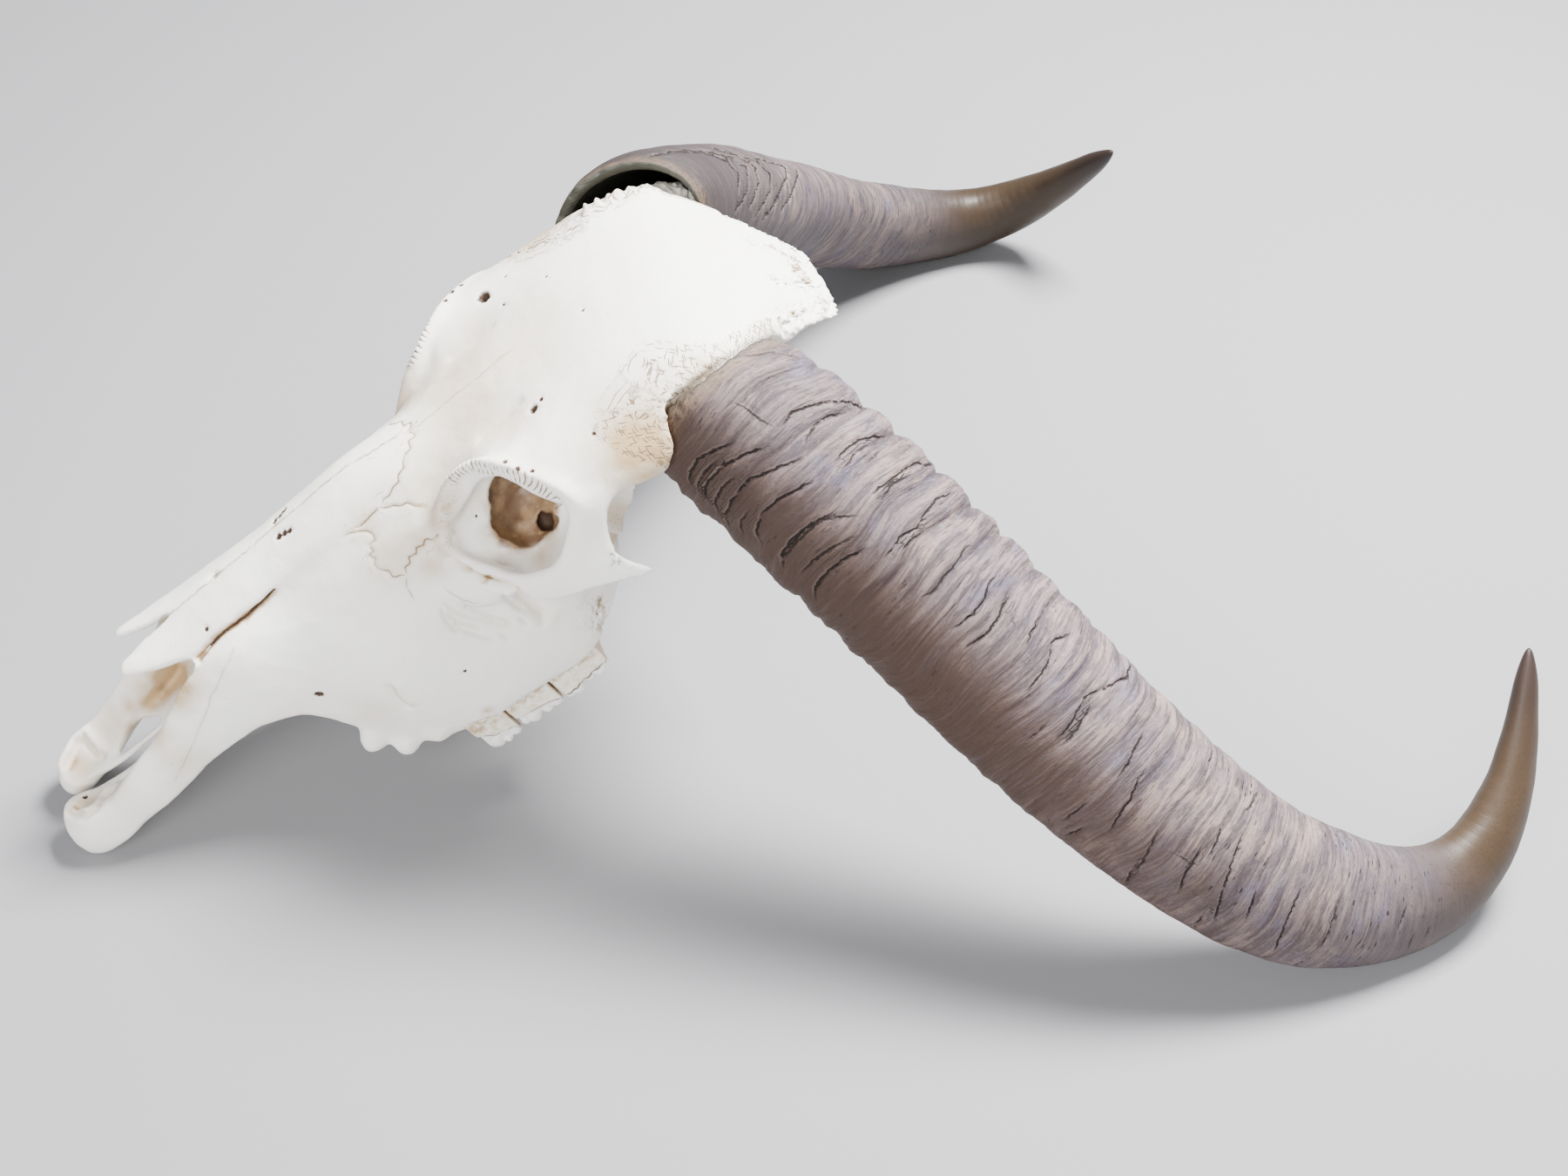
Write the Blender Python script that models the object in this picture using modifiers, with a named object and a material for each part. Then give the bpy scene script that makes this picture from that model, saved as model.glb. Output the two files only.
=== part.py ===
"""Water buffalo skull without its lower jaw, lying on its premaxillae and its two horns.

Metres. While it is built, X is the animal's left, Y runs back from the point where the premaxillae
touch the floor, and Z is up from the floor, with the skull as it lies: nose down, horns back and down.
Everything is moved at the end so that the origin is the bottom centre of the whole object.
"""

import math

import bmesh
import bpy
import numpy as np
from mathutils import Matrix, Vector

OBJECT = "water_buffalo_skull"
FLOOR = 0.0022  # level the object lies at, which takes a flat spot about 1 mm deep off each low point
ORIGIN = Vector((-0.009, 0.3774, FLOOR))  # bottom centre of the object, as it is built
GAP = 0.0005  # between pieces that touch

# Resolution of the fused bone, and how many triangles it keeps
BONE_VOXEL = 0.0022
BONE_TRIANGLES = 4700
SMOOTHING = 4

# Horns: the left sheath's centre line, from its mouth to its tip, and its two half widths on the way
HORN_LINE = (
    (0.065, 0.360, 0.273),
    (0.136, 0.421, 0.219),
    (0.195, 0.472, 0.166),
    (0.254, 0.526, 0.113),
    (0.301, 0.599, 0.056),
    (0.313, 0.683, 0.031),
    (0.287, 0.738, 0.062),
    (0.240, 0.765, 0.123),
)
HORN_SIZES = (  # place along the line, half width, half thickness
    (0.00, 0.0470, 0.0380),
    (0.15, 0.0486, 0.0377),
    (0.35, 0.0471, 0.0322),
    (0.60, 0.0396, 0.0258),
    (0.82, 0.0209, 0.0156),
    (1.00, 0.0050, 0.0045),
)
HORN_TWIST = ((0.0, 0.335), (0.5, 0.249), (1.0, 0.764))  # radians, from the plane that holds Y
MOUTH_LEAN = 0.0095  # how far the mouth's upper outer side reaches on over the bone
MOUTH_SLANT = 0.0060  # and its front side
LEAN_ENDS = 0.25  # of the length
MOUTH_ROUNDING = 0.0060
MOUTH_ROUNDED = 0.045  # of the length
SHEATH_WALL = 0.0065  # at the mouth
DEEP_WALL = 0.0300  # at the hollow's end
SHEATH_HOLLOW = 0.50  # of the length
HOLLOW_START = -0.03  # the cutter begins in front of the mouth
SHEATH_ROOM = 0.0035  # between the sheath and the bone around its mouth
SHEATH_ROOM_ENDS = 0.35
CORE_CLEARANCE = 0.0030
LOOSE_CORE_CLEARANCE = 0.0090
LOOSE_CORE_END = 0.34
LOOSE_CORE_SHARE = 0.65  # how far the right core lies from the left one's mirror image, as a share of its sheath
CORE_END = 0.44
CORE_START = -0.006
CORE_ROOTS = ((-0.050, 0.0300), (-0.025, 0.0190))  # place inside the skull, and how much thinner it is there
RIDGES = 19
RIDGE_HEIGHT = 0.0016
RIDGES_END = 0.66
LOOSE_TURN = (math.radians(-1.5), math.radians(0.1), math.radians(1.7))
LOOSE_PIVOT = Vector((-0.120, 0.400, 0.240))
LOOSE_SHIFT = Vector((-0.0105, -0.0075, 0.0067))

# Teeth: length along the row and height of the crown, of molars 1 to 3, and the line of the gum
MOLARS = (("1", 0.0235, 0.0270), ("2", 0.0295, 0.0258), ("3", 0.0345, 0.0255))
ROW_START = Vector((0.0647, 0.2139, 0.0624))
ROW_END = Vector((0.0609, 0.2968, 0.1065))
TOOTH_WIDTH = 0.0215
TOOTH_LOBES = 2.0
ROOT = 0.0100

# Hollows of the left side: the eye socket, its back, and the temporal fossa, with centre and half widths
HOLLOWS = (
    ("orbit", (0.0680, 0.2570, 0.2210), (0.0290, 0.0300, 0.0300)),
    ("orbit_back", (0.0520, 0.2750, 0.2200), (0.0260, 0.0330, 0.0230)),
    ("temporal_fossa", (0.0780, 0.3150, 0.2080), (0.0300, 0.0250, 0.0450)),
)


def clear_scene():
    for thing in list(bpy.data.objects):
        bpy.data.objects.remove(thing, do_unlink=True)


def collection(name):
    made = bpy.data.collections.new(name)
    bpy.context.scene.collection.children.link(made)
    return made


def material(name, colour, roughness):
    made = bpy.data.materials.new(name)
    made.use_nodes = True
    shader = made.node_tree.nodes["Principled BSDF"]
    shader.inputs["Base Color"].default_value = (*colour, 1.0)
    shader.inputs["Roughness"].default_value = roughness
    shader.inputs["Metallic"].default_value = 0.0
    return made


def spline(knots, places):
    """Points of the natural cubic through evenly spaced knots, at places from 0 to len(knots) - 1."""
    knots = np.asarray(knots, float)
    count = len(knots)
    shape = knots.shape[1:]
    knots = knots.reshape(count, -1)
    bends = np.eye(count)
    right = np.zeros_like(knots)
    for i in range(1, count - 1):
        bends[i, i - 1 : i + 2] = (1.0, 4.0, 1.0)
        right[i] = 6.0 * (knots[i - 1] - 2.0 * knots[i] + knots[i + 1])
    second = np.linalg.solve(bends, right)
    places = np.clip(np.asarray(places, float), 0.0, count - 1.0)
    first = np.minimum(places.astype(int), count - 2)
    after = (places - first)[:, None]
    before = 1.0 - after
    points = before * knots[first] + after * knots[first + 1]
    points += ((before**3 - before) * second[first] + (after**3 - after) * second[first + 1]) / 6.0
    return points.reshape((len(places),) + shape)


def evenly(knots, count):
    return spline(knots, np.linspace(0.0, len(knots) - 1.0, count))


def skin(name, rings, into, closed=False):
    """A mesh over rings of points. The ends are capped unless the rings themselves close up."""
    rings = np.asarray(rings, float)
    count, around = rings.shape[:2]
    faces = []
    for i in range(count if closed else count - 1):
        here = i * around
        there = ((i + 1) % count) * around
        for j in range(around):
            k = (j + 1) % around
            faces.append((here + j, here + k, there + k, there + j))
    if not closed:
        faces.append(tuple(range(around))[::-1])
        faces.append(tuple(range((count - 1) * around, count * around)))
    mesh = bpy.data.meshes.new(name)
    mesh.from_pydata(rings.reshape(-1, 3).tolist(), [], faces)
    mesh.validate()
    piece = bpy.data.objects.new(name, mesh)
    into.objects.link(piece)
    face_out(piece)
    return piece


def face_out(piece):
    """Turns a closed mesh's faces outward, by the sign of its volume."""
    mesh = piece.data
    mesh.calc_loop_triangles()
    volume = 0.0
    for triangle in mesh.loop_triangles:
        a, b, c = (mesh.vertices[v].co for v in triangle.vertices)
        volume += a.dot(b.cross(c))
    if volume < 0.0:
        mesh.flip_normals()


def loft(name, sections, into, along=40, around=28):
    """A body that is the same on both sides, from half outlines (x, z) at a row of places on Y."""
    places = evenly([y for y, _ in sections], along)
    outlines = evenly([outline for _, outline in sections], along)
    rings = []
    for y, outline in zip(places, outlines):
        half = evenly(outline, around + 1)
        left = [(x, y, z) for x, z in half]
        right = [(-x, y, z) for x, z in half[-2:0:-1]]
        rings.append(left + right)
    return skin(name, rings, into)


def plate(name, rails, into, along=24, around=12, closed=False):
    """A rounded plate between two rails, whose stations hold both rails' points and a thickness."""
    if closed:
        rails = rails[-2:] + rails + rails[:2]
    edges = [tuple(first) + tuple(second) + (thick,) for first, second, thick in rails]
    if closed:
        stations = spline(edges, 2.0 + np.arange(along) * (len(rails) - 4.0) / along)
    else:
        stations = evenly(edges, along)
    middles = (stations[:, 0:3] + stations[:, 3:6]) / 2.0
    rings = []
    for i, station in enumerate(stations):
        ahead = middles[(i + 1) % along] if closed else middles[min(i + 1, along - 1)]
        behind = middles[i - 1] if closed or i else middles[0]
        across = Vector(station[3:6] - station[0:3])
        forward = Vector(ahead - behind)
        normal = forward.cross(across).normalized()
        half = across / 2.0
        ring = []
        for j in range(around):
            turn = 2.0 * math.pi * j / around
            wide, tall = math.cos(turn), math.sin(turn)
            ring.append(Vector(middles[i]) + half * wide + normal * (station[6] / 2.0 * tall))
        rings.append(ring)
    return skin(name, rings, into, closed)


def tube(name, stations, into, along=24, around=16):
    """A body over closed outlines, each given by the same number of points in space."""
    rings = []
    for outline in evenly(stations, along):
        points = np.concatenate([outline[-2:], outline, outline[:2]])
        turns = 2.0 + np.arange(around) * len(outline) / around
        rings.append(spline(points, turns))
    return skin(name, rings, into)


def ball(name, place, size, into):
    """A rounded lump or hollow, stretched to its three half widths."""
    body = bmesh.new()
    bmesh.ops.create_uvsphere(body, u_segments=24, v_segments=14, radius=1.0)
    mesh = bpy.data.meshes.new(name)
    body.to_mesh(mesh)
    body.free()
    mesh.transform(Matrix.LocRotScale(Vector(place), None, Vector(size)))
    made = bpy.data.objects.new(name, mesh)
    into.objects.link(made)
    return made


def mirrored(piece, into):
    """The same piece on the animal's right."""
    mesh = piece.data.copy()
    mesh.transform(Matrix.Scale(-1.0, 4, (1.0, 0.0, 0.0)))
    mesh.flip_normals()
    other = bpy.data.objects.new(piece.name + "_right", mesh)
    into.objects.link(other)
    return other


def baked(pieces, name, into):
    """One mesh object holding the finished shapes of the pieces, which are then removed."""
    bpy.context.view_layer.update()
    depsgraph = bpy.context.evaluated_depsgraph_get()
    body = bmesh.new()
    for piece in pieces:
        body.from_object(piece, depsgraph)
    mesh = bpy.data.meshes.new(name)
    body.to_mesh(mesh)
    body.free()
    whole = bpy.data.objects.new(name, mesh)
    into.objects.link(whole)
    for piece in pieces:
        bpy.data.objects.remove(piece, do_unlink=True)
    return whole


def cut(piece, cutters):
    for cutter in cutters:
        modifier = piece.modifiers.new(cutter.name, "BOOLEAN")
        modifier.operation = "DIFFERENCE"
        modifier.object = cutter
        modifier.solver = "EXACT"
        cutter.hide_render = True
        cutter.display_type = "WIRE"


def both_sides(pieces, into):
    return pieces + [mirrored(piece, into) for piece in pieces]


def face_mass(into):
    """Maxillae, lacrimals and the walls between the eyes, as one body before it is hollowed."""
    sections = [
        (0.070, [(0, 0.121), (0.012, 0.121), (0.024, 0.121), (0.033, 0.117), (0.039, 0.103),
                 (0.042, 0.085), (0.040, 0.069), (0.022, 0.071), (0, 0.073)]),
        (0.086, [(0, 0.137), (0.014, 0.137), (0.026, 0.138), (0.035, 0.131), (0.041, 0.112),
                 (0.043, 0.095), (0.041, 0.080), (0.022, 0.083), (0, 0.085)]),
        (0.106, [(0, 0.152), (0.014, 0.152), (0.025, 0.152), (0.036, 0.141), (0.042, 0.120),
                 (0.044, 0.103), (0.042, 0.087), (0.022, 0.092), (0, 0.094)]),
        (0.130, [(0, 0.174), (0.012, 0.172), (0.023, 0.164), (0.034, 0.150), (0.043, 0.127),
                 (0.046, 0.107), (0.043, 0.088), (0.022, 0.097), (0, 0.099)]),
        (0.156, [(0, 0.202), (0.013, 0.198), (0.024, 0.185), (0.037, 0.168), (0.048, 0.140),
                 (0.054, 0.110), (0.049, 0.072), (0.026, 0.086), (0, 0.090)]),
        (0.182, [(0, 0.222), (0.014, 0.219), (0.024, 0.205), (0.040, 0.188), (0.052, 0.158),
                 (0.064, 0.120), (0.056, 0.060), (0.032, 0.078), (0, 0.084)]),
        (0.208, [(0, 0.232), (0.016, 0.230), (0.030, 0.220), (0.046, 0.203), (0.056, 0.168),
                 (0.066, 0.126), (0.062, 0.064), (0.036, 0.083), (0, 0.091)]),
        (0.235, [(0, 0.244), (0.018, 0.241), (0.034, 0.231), (0.049, 0.200), (0.056, 0.166),
                 (0.067, 0.128), (0.065, 0.076), (0.038, 0.094), (0, 0.103)]),
        (0.262, [(0, 0.258), (0.020, 0.252), (0.036, 0.235), (0.046, 0.200), (0.055, 0.166),
                 (0.066, 0.138), (0.064, 0.090), (0.038, 0.108), (0, 0.118)]),
        (0.290, [(0, 0.272), (0.020, 0.260), (0.030, 0.235), (0.036, 0.200), (0.044, 0.168),
                 (0.055, 0.145), (0.061, 0.105), (0.036, 0.120), (0, 0.135)]),
        (0.314, [(0, 0.280), (0.018, 0.262), (0.026, 0.235), (0.029, 0.205), (0.032, 0.178),
                 (0.035, 0.155), (0.034, 0.135), (0.020, 0.142), (0, 0.150)]),
    ]
    return loft("face", sections, into, along=50)


def nasal_cavity(into):
    """The hollow of the snout, open in front between the nasal bones and the premaxillae."""
    sections = [
        (0.020, [(0, 0.150), (0.012, 0.148), (0.022, 0.138), (0.030, 0.120), (0.033, 0.100),
                 (0.033, 0.085), (0.030, 0.066), (0.016, 0.062), (0, 0.061)]),
        (0.075, [(0, 0.152), (0.012, 0.150), (0.022, 0.142), (0.030, 0.125), (0.034, 0.108),
                 (0.035, 0.096), (0.032, 0.085), (0.016, 0.080), (0, 0.080)]),
        (0.110, [(0, 0.164), (0.012, 0.161), (0.021, 0.152), (0.031, 0.135), (0.036, 0.118),
                 (0.038, 0.108), (0.035, 0.100), (0.018, 0.101), (0, 0.102)]),
        (0.150, [(0, 0.184), (0.010, 0.181), (0.019, 0.170), (0.030, 0.150), (0.038, 0.130),
                 (0.040, 0.116), (0.036, 0.104), (0.018, 0.103), (0, 0.104)]),
        (0.200, [(0, 0.208), (0.009, 0.204), (0.018, 0.190), (0.026, 0.165), (0.032, 0.142),
                 (0.034, 0.124), (0.030, 0.108), (0.015, 0.106), (0, 0.106)]),
        (0.245, [(0, 0.200), (0.006, 0.196), (0.012, 0.186), (0.016, 0.170), (0.018, 0.152),
                 (0.018, 0.140), (0.015, 0.130), (0.008, 0.127), (0, 0.127)]),
    ]
    return loft("nasal_cavity", sections, into, along=30)


def throat(into):
    """The choanae: the passage that opens behind the hard palate and goes up into the nose."""
    sections = [
        (0.225, [(0, 0.172), (0.006, 0.171), (0.012, 0.166), (0.015, 0.156), (0.016, 0.148),
                 (0.015, 0.140), (0.012, 0.134), (0.006, 0.132), (0, 0.132)]),
        (0.270, [(0, 0.180), (0.009, 0.179), (0.016, 0.172), (0.020, 0.158), (0.021, 0.145),
                 (0.019, 0.132), (0.015, 0.118), (0.008, 0.110), (0, 0.108)]),
        (0.330, [(0, 0.196), (0.010, 0.194), (0.018, 0.184), (0.022, 0.165), (0.023, 0.145),
                 (0.021, 0.125), (0.016, 0.105), (0.008, 0.095), (0, 0.090)]),
    ]
    return loft("throat", sections, into, along=16)


def roof(into):
    """The frontal bones, from the root of the nose to the thin broken edge behind the horns."""
    sections = [
        (0.198, [(0, 0.230), (0.012, 0.228), (0.023, 0.219), (0.032, 0.211), (0.039, 0.203),
                 (0.033, 0.197), (0.022, 0.200), (0.012, 0.205), (0, 0.208)]),
        (0.222, [(0, 0.240), (0.015, 0.238), (0.030, 0.230), (0.041, 0.223), (0.049, 0.214),
                 (0.043, 0.204), (0.028, 0.210), (0.014, 0.214), (0, 0.216)]),
        (0.240, [(0, 0.251), (0.018, 0.249), (0.034, 0.246), (0.047, 0.249), (0.058, 0.250),
                 (0.055, 0.238), (0.036, 0.230), (0.018, 0.232), (0, 0.234)]),
        (0.258, [(0, 0.263), (0.020, 0.262), (0.038, 0.258), (0.059, 0.263), (0.078, 0.257),
                 (0.073, 0.245), (0.045, 0.243), (0.020, 0.245), (0, 0.246)]),
        (0.277, [(0, 0.274), (0.024, 0.274), (0.046, 0.272), (0.070, 0.270), (0.091, 0.254),
                 (0.084, 0.243), (0.052, 0.250), (0.024, 0.254), (0, 0.255)]),
        (0.300, [(0, 0.288), (0.026, 0.288), (0.052, 0.286), (0.078, 0.278), (0.096, 0.261),
                 (0.088, 0.249), (0.056, 0.260), (0.026, 0.267), (0, 0.269)]),
        (0.322, [(0, 0.299), (0.026, 0.299), (0.054, 0.298), (0.080, 0.290), (0.100, 0.267),
                 (0.090, 0.255), (0.058, 0.268), (0.026, 0.277), (0, 0.280)]),
        (0.345, [(0, 0.307), (0.026, 0.307), (0.052, 0.306), (0.076, 0.301), (0.094, 0.284),
                 (0.088, 0.262), (0.058, 0.271), (0.026, 0.283), (0, 0.287)]),
        (0.370, [(0, 0.310), (0.024, 0.310), (0.048, 0.309), (0.068, 0.305), (0.084, 0.290),
                 (0.078, 0.264), (0.052, 0.272), (0.024, 0.285), (0, 0.290)]),
        (0.395, [(0, 0.306), (0.020, 0.306), (0.038, 0.304), (0.053, 0.300), (0.061, 0.290),
                 (0.055, 0.278), (0.038, 0.281), (0.020, 0.287), (0, 0.289)]),
        (0.420, [(0, 0.293), (0.015, 0.293), (0.028, 0.291), (0.037, 0.289), (0.043, 0.284),
                 (0.038, 0.280), (0.028, 0.283), (0.015, 0.286), (0, 0.287)]),
        (0.444, [(0, 0.277), (0.009, 0.277), (0.018, 0.277), (0.025, 0.276), (0.029, 0.274),
                 (0.025, 0.271), (0.018, 0.272), (0.009, 0.273), (0, 0.273)]),
    ]
    return loft("roof", sections, into, along=56)


def nasal_bone(into):
    """The left nasal bone: an arched plate that overhangs the nose and ends in two prongs."""
    thick = 0.0086
    rails = [
        ((0.009, 0.040, 0.1270), (0.0175, 0.038, 0.1235), 0.0057),
        ((0.004, 0.055, 0.1355), (0.0225, 0.056, 0.1270), 0.0076),
        ((0.001, 0.070, 0.1440), (0.0260, 0.072, 0.1330), thick),
        ((0.000, 0.085, 0.1540), (0.0270, 0.084, 0.1380), thick),
        ((0.000, 0.102, 0.1650), (0.0255, 0.104, 0.1530), thick),
        ((0.000, 0.128, 0.1820), (0.0235, 0.130, 0.1680), thick),
        ((0.000, 0.154, 0.2020), (0.0240, 0.155, 0.1860), thick),
        ((0.000, 0.181, 0.2220), (0.0240, 0.181, 0.2040), thick),
        ((0.000, 0.204, 0.2310), (0.0220, 0.200, 0.2170), thick),
    ]
    return plate("nasal", rails, into, along=36, around=14)


def premaxilla(into):
    """The left premaxilla: a dished front body whose outer side stands up into the wall of the snout."""
    # Each station goes around: inner top, dish, upper border, outer face, lower border, underside, inner bottom
    stations = [
        [(0.0100, -0.0125, 0.0285), (0.0150, -0.0135, 0.0290), (0.0210, -0.0125, 0.0290),
         (0.0245, -0.0130, 0.0245), (0.0220, -0.0145, 0.0190), (0.0160, -0.0150, 0.0195),
         (0.0100, -0.0140, 0.0220)],
        [(0.0045, -0.0065, 0.0285), (0.0150, -0.0060, 0.0290), (0.0265, -0.0065, 0.0325),
         (0.0295, -0.0100, 0.0220), (0.0255, -0.0110, 0.0080), (0.0160, -0.0110, 0.0095),
         (0.0045, -0.0090, 0.0180)],
        [(0.0040, 0.0020, 0.0290), (0.0150, 0.0010, 0.0280), (0.0305, 0.0000, 0.0375),
         (0.0362, 0.0000, 0.0210), (0.0305, 0.0005, 0.0010), (0.0180, 0.0010, 0.0060),
         (0.0040, 0.0020, 0.0180)],
        [(0.0105, 0.0150, 0.0350), (0.0180, 0.0150, 0.0350), (0.0320, 0.0140, 0.0470),
         (0.0392, 0.0150, 0.0325), (0.0362, 0.0160, 0.0125), (0.0220, 0.0150, 0.0165),
         (0.0105, 0.0160, 0.0270)],
        [(0.0150, 0.0260, 0.0460), (0.0210, 0.0260, 0.0480), (0.0325, 0.0260, 0.0620),
         (0.0405, 0.0260, 0.0475), (0.0393, 0.0270, 0.0245), (0.0260, 0.0270, 0.0275),
         (0.0150, 0.0270, 0.0370)],
        [(0.0205, 0.0380, 0.0620), (0.0245, 0.0380, 0.0660), (0.0325, 0.0380, 0.0765),
         (0.0410, 0.0380, 0.0600), (0.0412, 0.0400, 0.0375), (0.0300, 0.0400, 0.0400),
         (0.0205, 0.0390, 0.0520)],
        [(0.0260, 0.0520, 0.0820), (0.0275, 0.0520, 0.0850), (0.0325, 0.0510, 0.0920),
         (0.0415, 0.0530, 0.0750), (0.0415, 0.0560, 0.0500), (0.0340, 0.0560, 0.0530),
         (0.0260, 0.0540, 0.0680)],
        [(0.0280, 0.0660, 0.1050), (0.0285, 0.0650, 0.1090), (0.0315, 0.0640, 0.1140),
         (0.0410, 0.0680, 0.0920), (0.0420, 0.0720, 0.0670), (0.0360, 0.0720, 0.0700),
         (0.0290, 0.0680, 0.0880)],
        [(0.0285, 0.0780, 0.1250), (0.0290, 0.0770, 0.1290), (0.0310, 0.0770, 0.1320),
         (0.0400, 0.0820, 0.1080), (0.0430, 0.0880, 0.0800), (0.0370, 0.0880, 0.0830),
         (0.0300, 0.0820, 0.1040)],
        [(0.0290, 0.0880, 0.1360), (0.0290, 0.0880, 0.1390), (0.0310, 0.0890, 0.1400),
         (0.0400, 0.0960, 0.1150), (0.0430, 0.1020, 0.0860), (0.0380, 0.1020, 0.0900),
         (0.0310, 0.0950, 0.1120)],
    ]
    return tube("premaxilla", stations, into, along=40, around=20)


def palatine_process(into):
    """The narrow strip of the left premaxilla beside the midline, which bounds the long slot."""
    rails = [
        ((0.0035, 0.0000, 0.0250), (0.0105, 0.0000, 0.0230), 0.0080),
        ((0.0030, 0.0180, 0.0330), (0.0100, 0.0180, 0.0310), 0.0060),
        ((0.0025, 0.0380, 0.0460), (0.0095, 0.0380, 0.0440), 0.0050),
        ((0.0015, 0.0600, 0.0640), (0.0095, 0.0600, 0.0620), 0.0050),
        ((0.0000, 0.0850, 0.0820), (0.0100, 0.0850, 0.0800), 0.0060),
    ]
    return plate("palatine_process", rails, into, along=18, around=8)


def palate(into):
    """The left half of the palate's front, whose edge is the rounded end of the long slot."""
    rails = [
        ((0.0170, 0.0400, 0.0520), (0.0360, 0.0400, 0.0440), 0.0050),
        ((0.0130, 0.0480, 0.0560), (0.0370, 0.0480, 0.0470), 0.0050),
        ((0.0060, 0.0540, 0.0605), (0.0380, 0.0540, 0.0500), 0.0050),
        ((-0.0010, 0.0600, 0.0650), (0.0380, 0.0600, 0.0550), 0.0050),
        ((-0.0010, 0.0720, 0.0740), (0.0390, 0.0720, 0.0650), 0.0055),
        ((-0.0010, 0.0880, 0.0850), (0.0400, 0.0880, 0.0790), 0.0060),
    ]
    return plate("palate", rails, into, along=18, around=14)


def orbit_rim(into):
    """The raised rim of the left eye socket, a closed loop of inner and outer edges."""
    rails = [
        ((0.0515, 0.2205, 0.2120), (0.0440, 0.2150, 0.2120), 0.0090),
        ((0.0545, 0.2225, 0.1990), (0.0480, 0.2150, 0.1960), 0.0100),
        ((0.0640, 0.2310, 0.1930), (0.0600, 0.2250, 0.1850), 0.0110),
        ((0.0750, 0.2430, 0.1920), (0.0740, 0.2390, 0.1830), 0.0110),
        ((0.0880, 0.2600, 0.2010), (0.0900, 0.2590, 0.1900), 0.0100),
        ((0.0935, 0.2690, 0.2190), (0.1000, 0.2780, 0.2120), 0.0080),
        ((0.0950, 0.2740, 0.2370), (0.0990, 0.2840, 0.2400), 0.0070),
        ((0.0925, 0.2750, 0.2490), (0.0930, 0.2790, 0.2570), 0.0060),
        ((0.0800, 0.2610, 0.2560), (0.0770, 0.2620, 0.2620), 0.0060),
        ((0.0690, 0.2490, 0.2570), (0.0640, 0.2500, 0.2620), 0.0060),
        ((0.0570, 0.2370, 0.2530), (0.0510, 0.2360, 0.2540), 0.0060),
        ((0.0500, 0.2270, 0.2350), (0.0420, 0.2220, 0.2340), 0.0080),
    ]
    return plate("orbit_rim", rails, into, along=48, around=10, closed=True)


def cheekbone(into):
    """The left jugal: from the face, under the eye socket, to the spike where it broke off."""
    rails = [
        ((0.0400, 0.2080, 0.1960), (0.0420, 0.2080, 0.1840), 0.0060),
        ((0.0600, 0.2290, 0.1930), (0.0620, 0.2290, 0.1760), 0.0130),
        ((0.0780, 0.2470, 0.1950), (0.0800, 0.2460, 0.1780), 0.0110),
        ((0.0920, 0.2660, 0.2100), (0.0940, 0.2640, 0.1830), 0.0075),
        ((0.1010, 0.2850, 0.2250), (0.1030, 0.2830, 0.1950), 0.0060),
        ((0.1070, 0.3000, 0.2160), (0.1090, 0.3010, 0.2010), 0.0050),
        ((0.1130, 0.3170, 0.2100), (0.1130, 0.3170, 0.2060), 0.0035),
    ]
    return plate("cheekbone", rails, into, along=30, around=14)


def postorbital_bar(into):
    rails = [
        ((0.0820, 0.2760, 0.2530), (0.0890, 0.3160, 0.2630), 0.0060),
        ((0.0905, 0.2750, 0.2510), (0.0950, 0.3060, 0.2570), 0.0070),
        ((0.0945, 0.2740, 0.2450), (0.0990, 0.2980, 0.2480), 0.0075),
        ((0.0960, 0.2735, 0.2360), (0.1000, 0.2940, 0.2370), 0.0065),
        ((0.0955, 0.2700, 0.2200), (0.1040, 0.2960, 0.2240), 0.0065),
        ((0.0940, 0.2660, 0.2040), (0.1060, 0.2990, 0.2120), 0.0065),
    ]
    return plate("postorbital_bar", rails, into, along=20, around=14)


def cheek_root(into):
    """The thick root of the cheekbone on the face, below the eye socket."""
    rails = [
        ((0.0380, 0.2080, 0.1840), (0.0440, 0.2080, 0.1640), 0.0100),
        ((0.0540, 0.2280, 0.1860), (0.0600, 0.2280, 0.1580), 0.0220),
        ((0.0700, 0.2500, 0.1890), (0.0730, 0.2500, 0.1740), 0.0160),
    ]
    return plate("cheek_root", rails, into, along=14, around=14)


def sockets_of_lost_premolars(into):
    """The worn edges of the three empty sockets in front of the molars."""
    places = ((0.0515, 0.1610, 0.0650), (0.0545, 0.1790, 0.0600), (0.0580, 0.1960, 0.0680))
    return [ball("alveolus", place, (0.0075, 0.0080, 0.0100), into) for place in places]


def temporal_wall(into):
    """What is left of the thin wall between the left eye socket and the lost braincase."""
    rails = [
        ((0.0540, 0.2880, 0.2700), (0.0760, 0.3180, 0.2780), 0.0060),
        ((0.0500, 0.2860, 0.2560), (0.0720, 0.3180, 0.2520), 0.0060),
        ((0.0460, 0.2850, 0.2300), (0.0690, 0.3180, 0.2240), 0.0060),
        ((0.0440, 0.2850, 0.2150), (0.0660, 0.3170, 0.2100), 0.0055),
        ((0.0420, 0.2850, 0.2000), (0.0650, 0.3110, 0.1990), 0.0055),
        ((0.0400, 0.2850, 0.1880), (0.0650, 0.3120, 0.1870), 0.0055),
    ]
    return plate("temporal_wall", rails, into, along=14, around=14)


def horn_frame():
    """Centre, wide axis, thin axis and direction at 0 to 1 along the left horn, for any place."""
    fine = np.linspace(0.0, 1.0, 65)
    last = len(HORN_LINE) - 1.0
    centres = spline(HORN_LINE, fine * last)
    tangents = np.gradient(centres, axis=0)
    tangents /= np.linalg.norm(tangents, axis=1, keepdims=True)
    across = np.array((0.0, 1.0, 0.0))
    axes = []
    for tangent in tangents:
        across = across - across.dot(tangent) * tangent
        across /= np.linalg.norm(across)
        axes.append(across)
    return fine, centres, tangents, np.array(axes)


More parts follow.
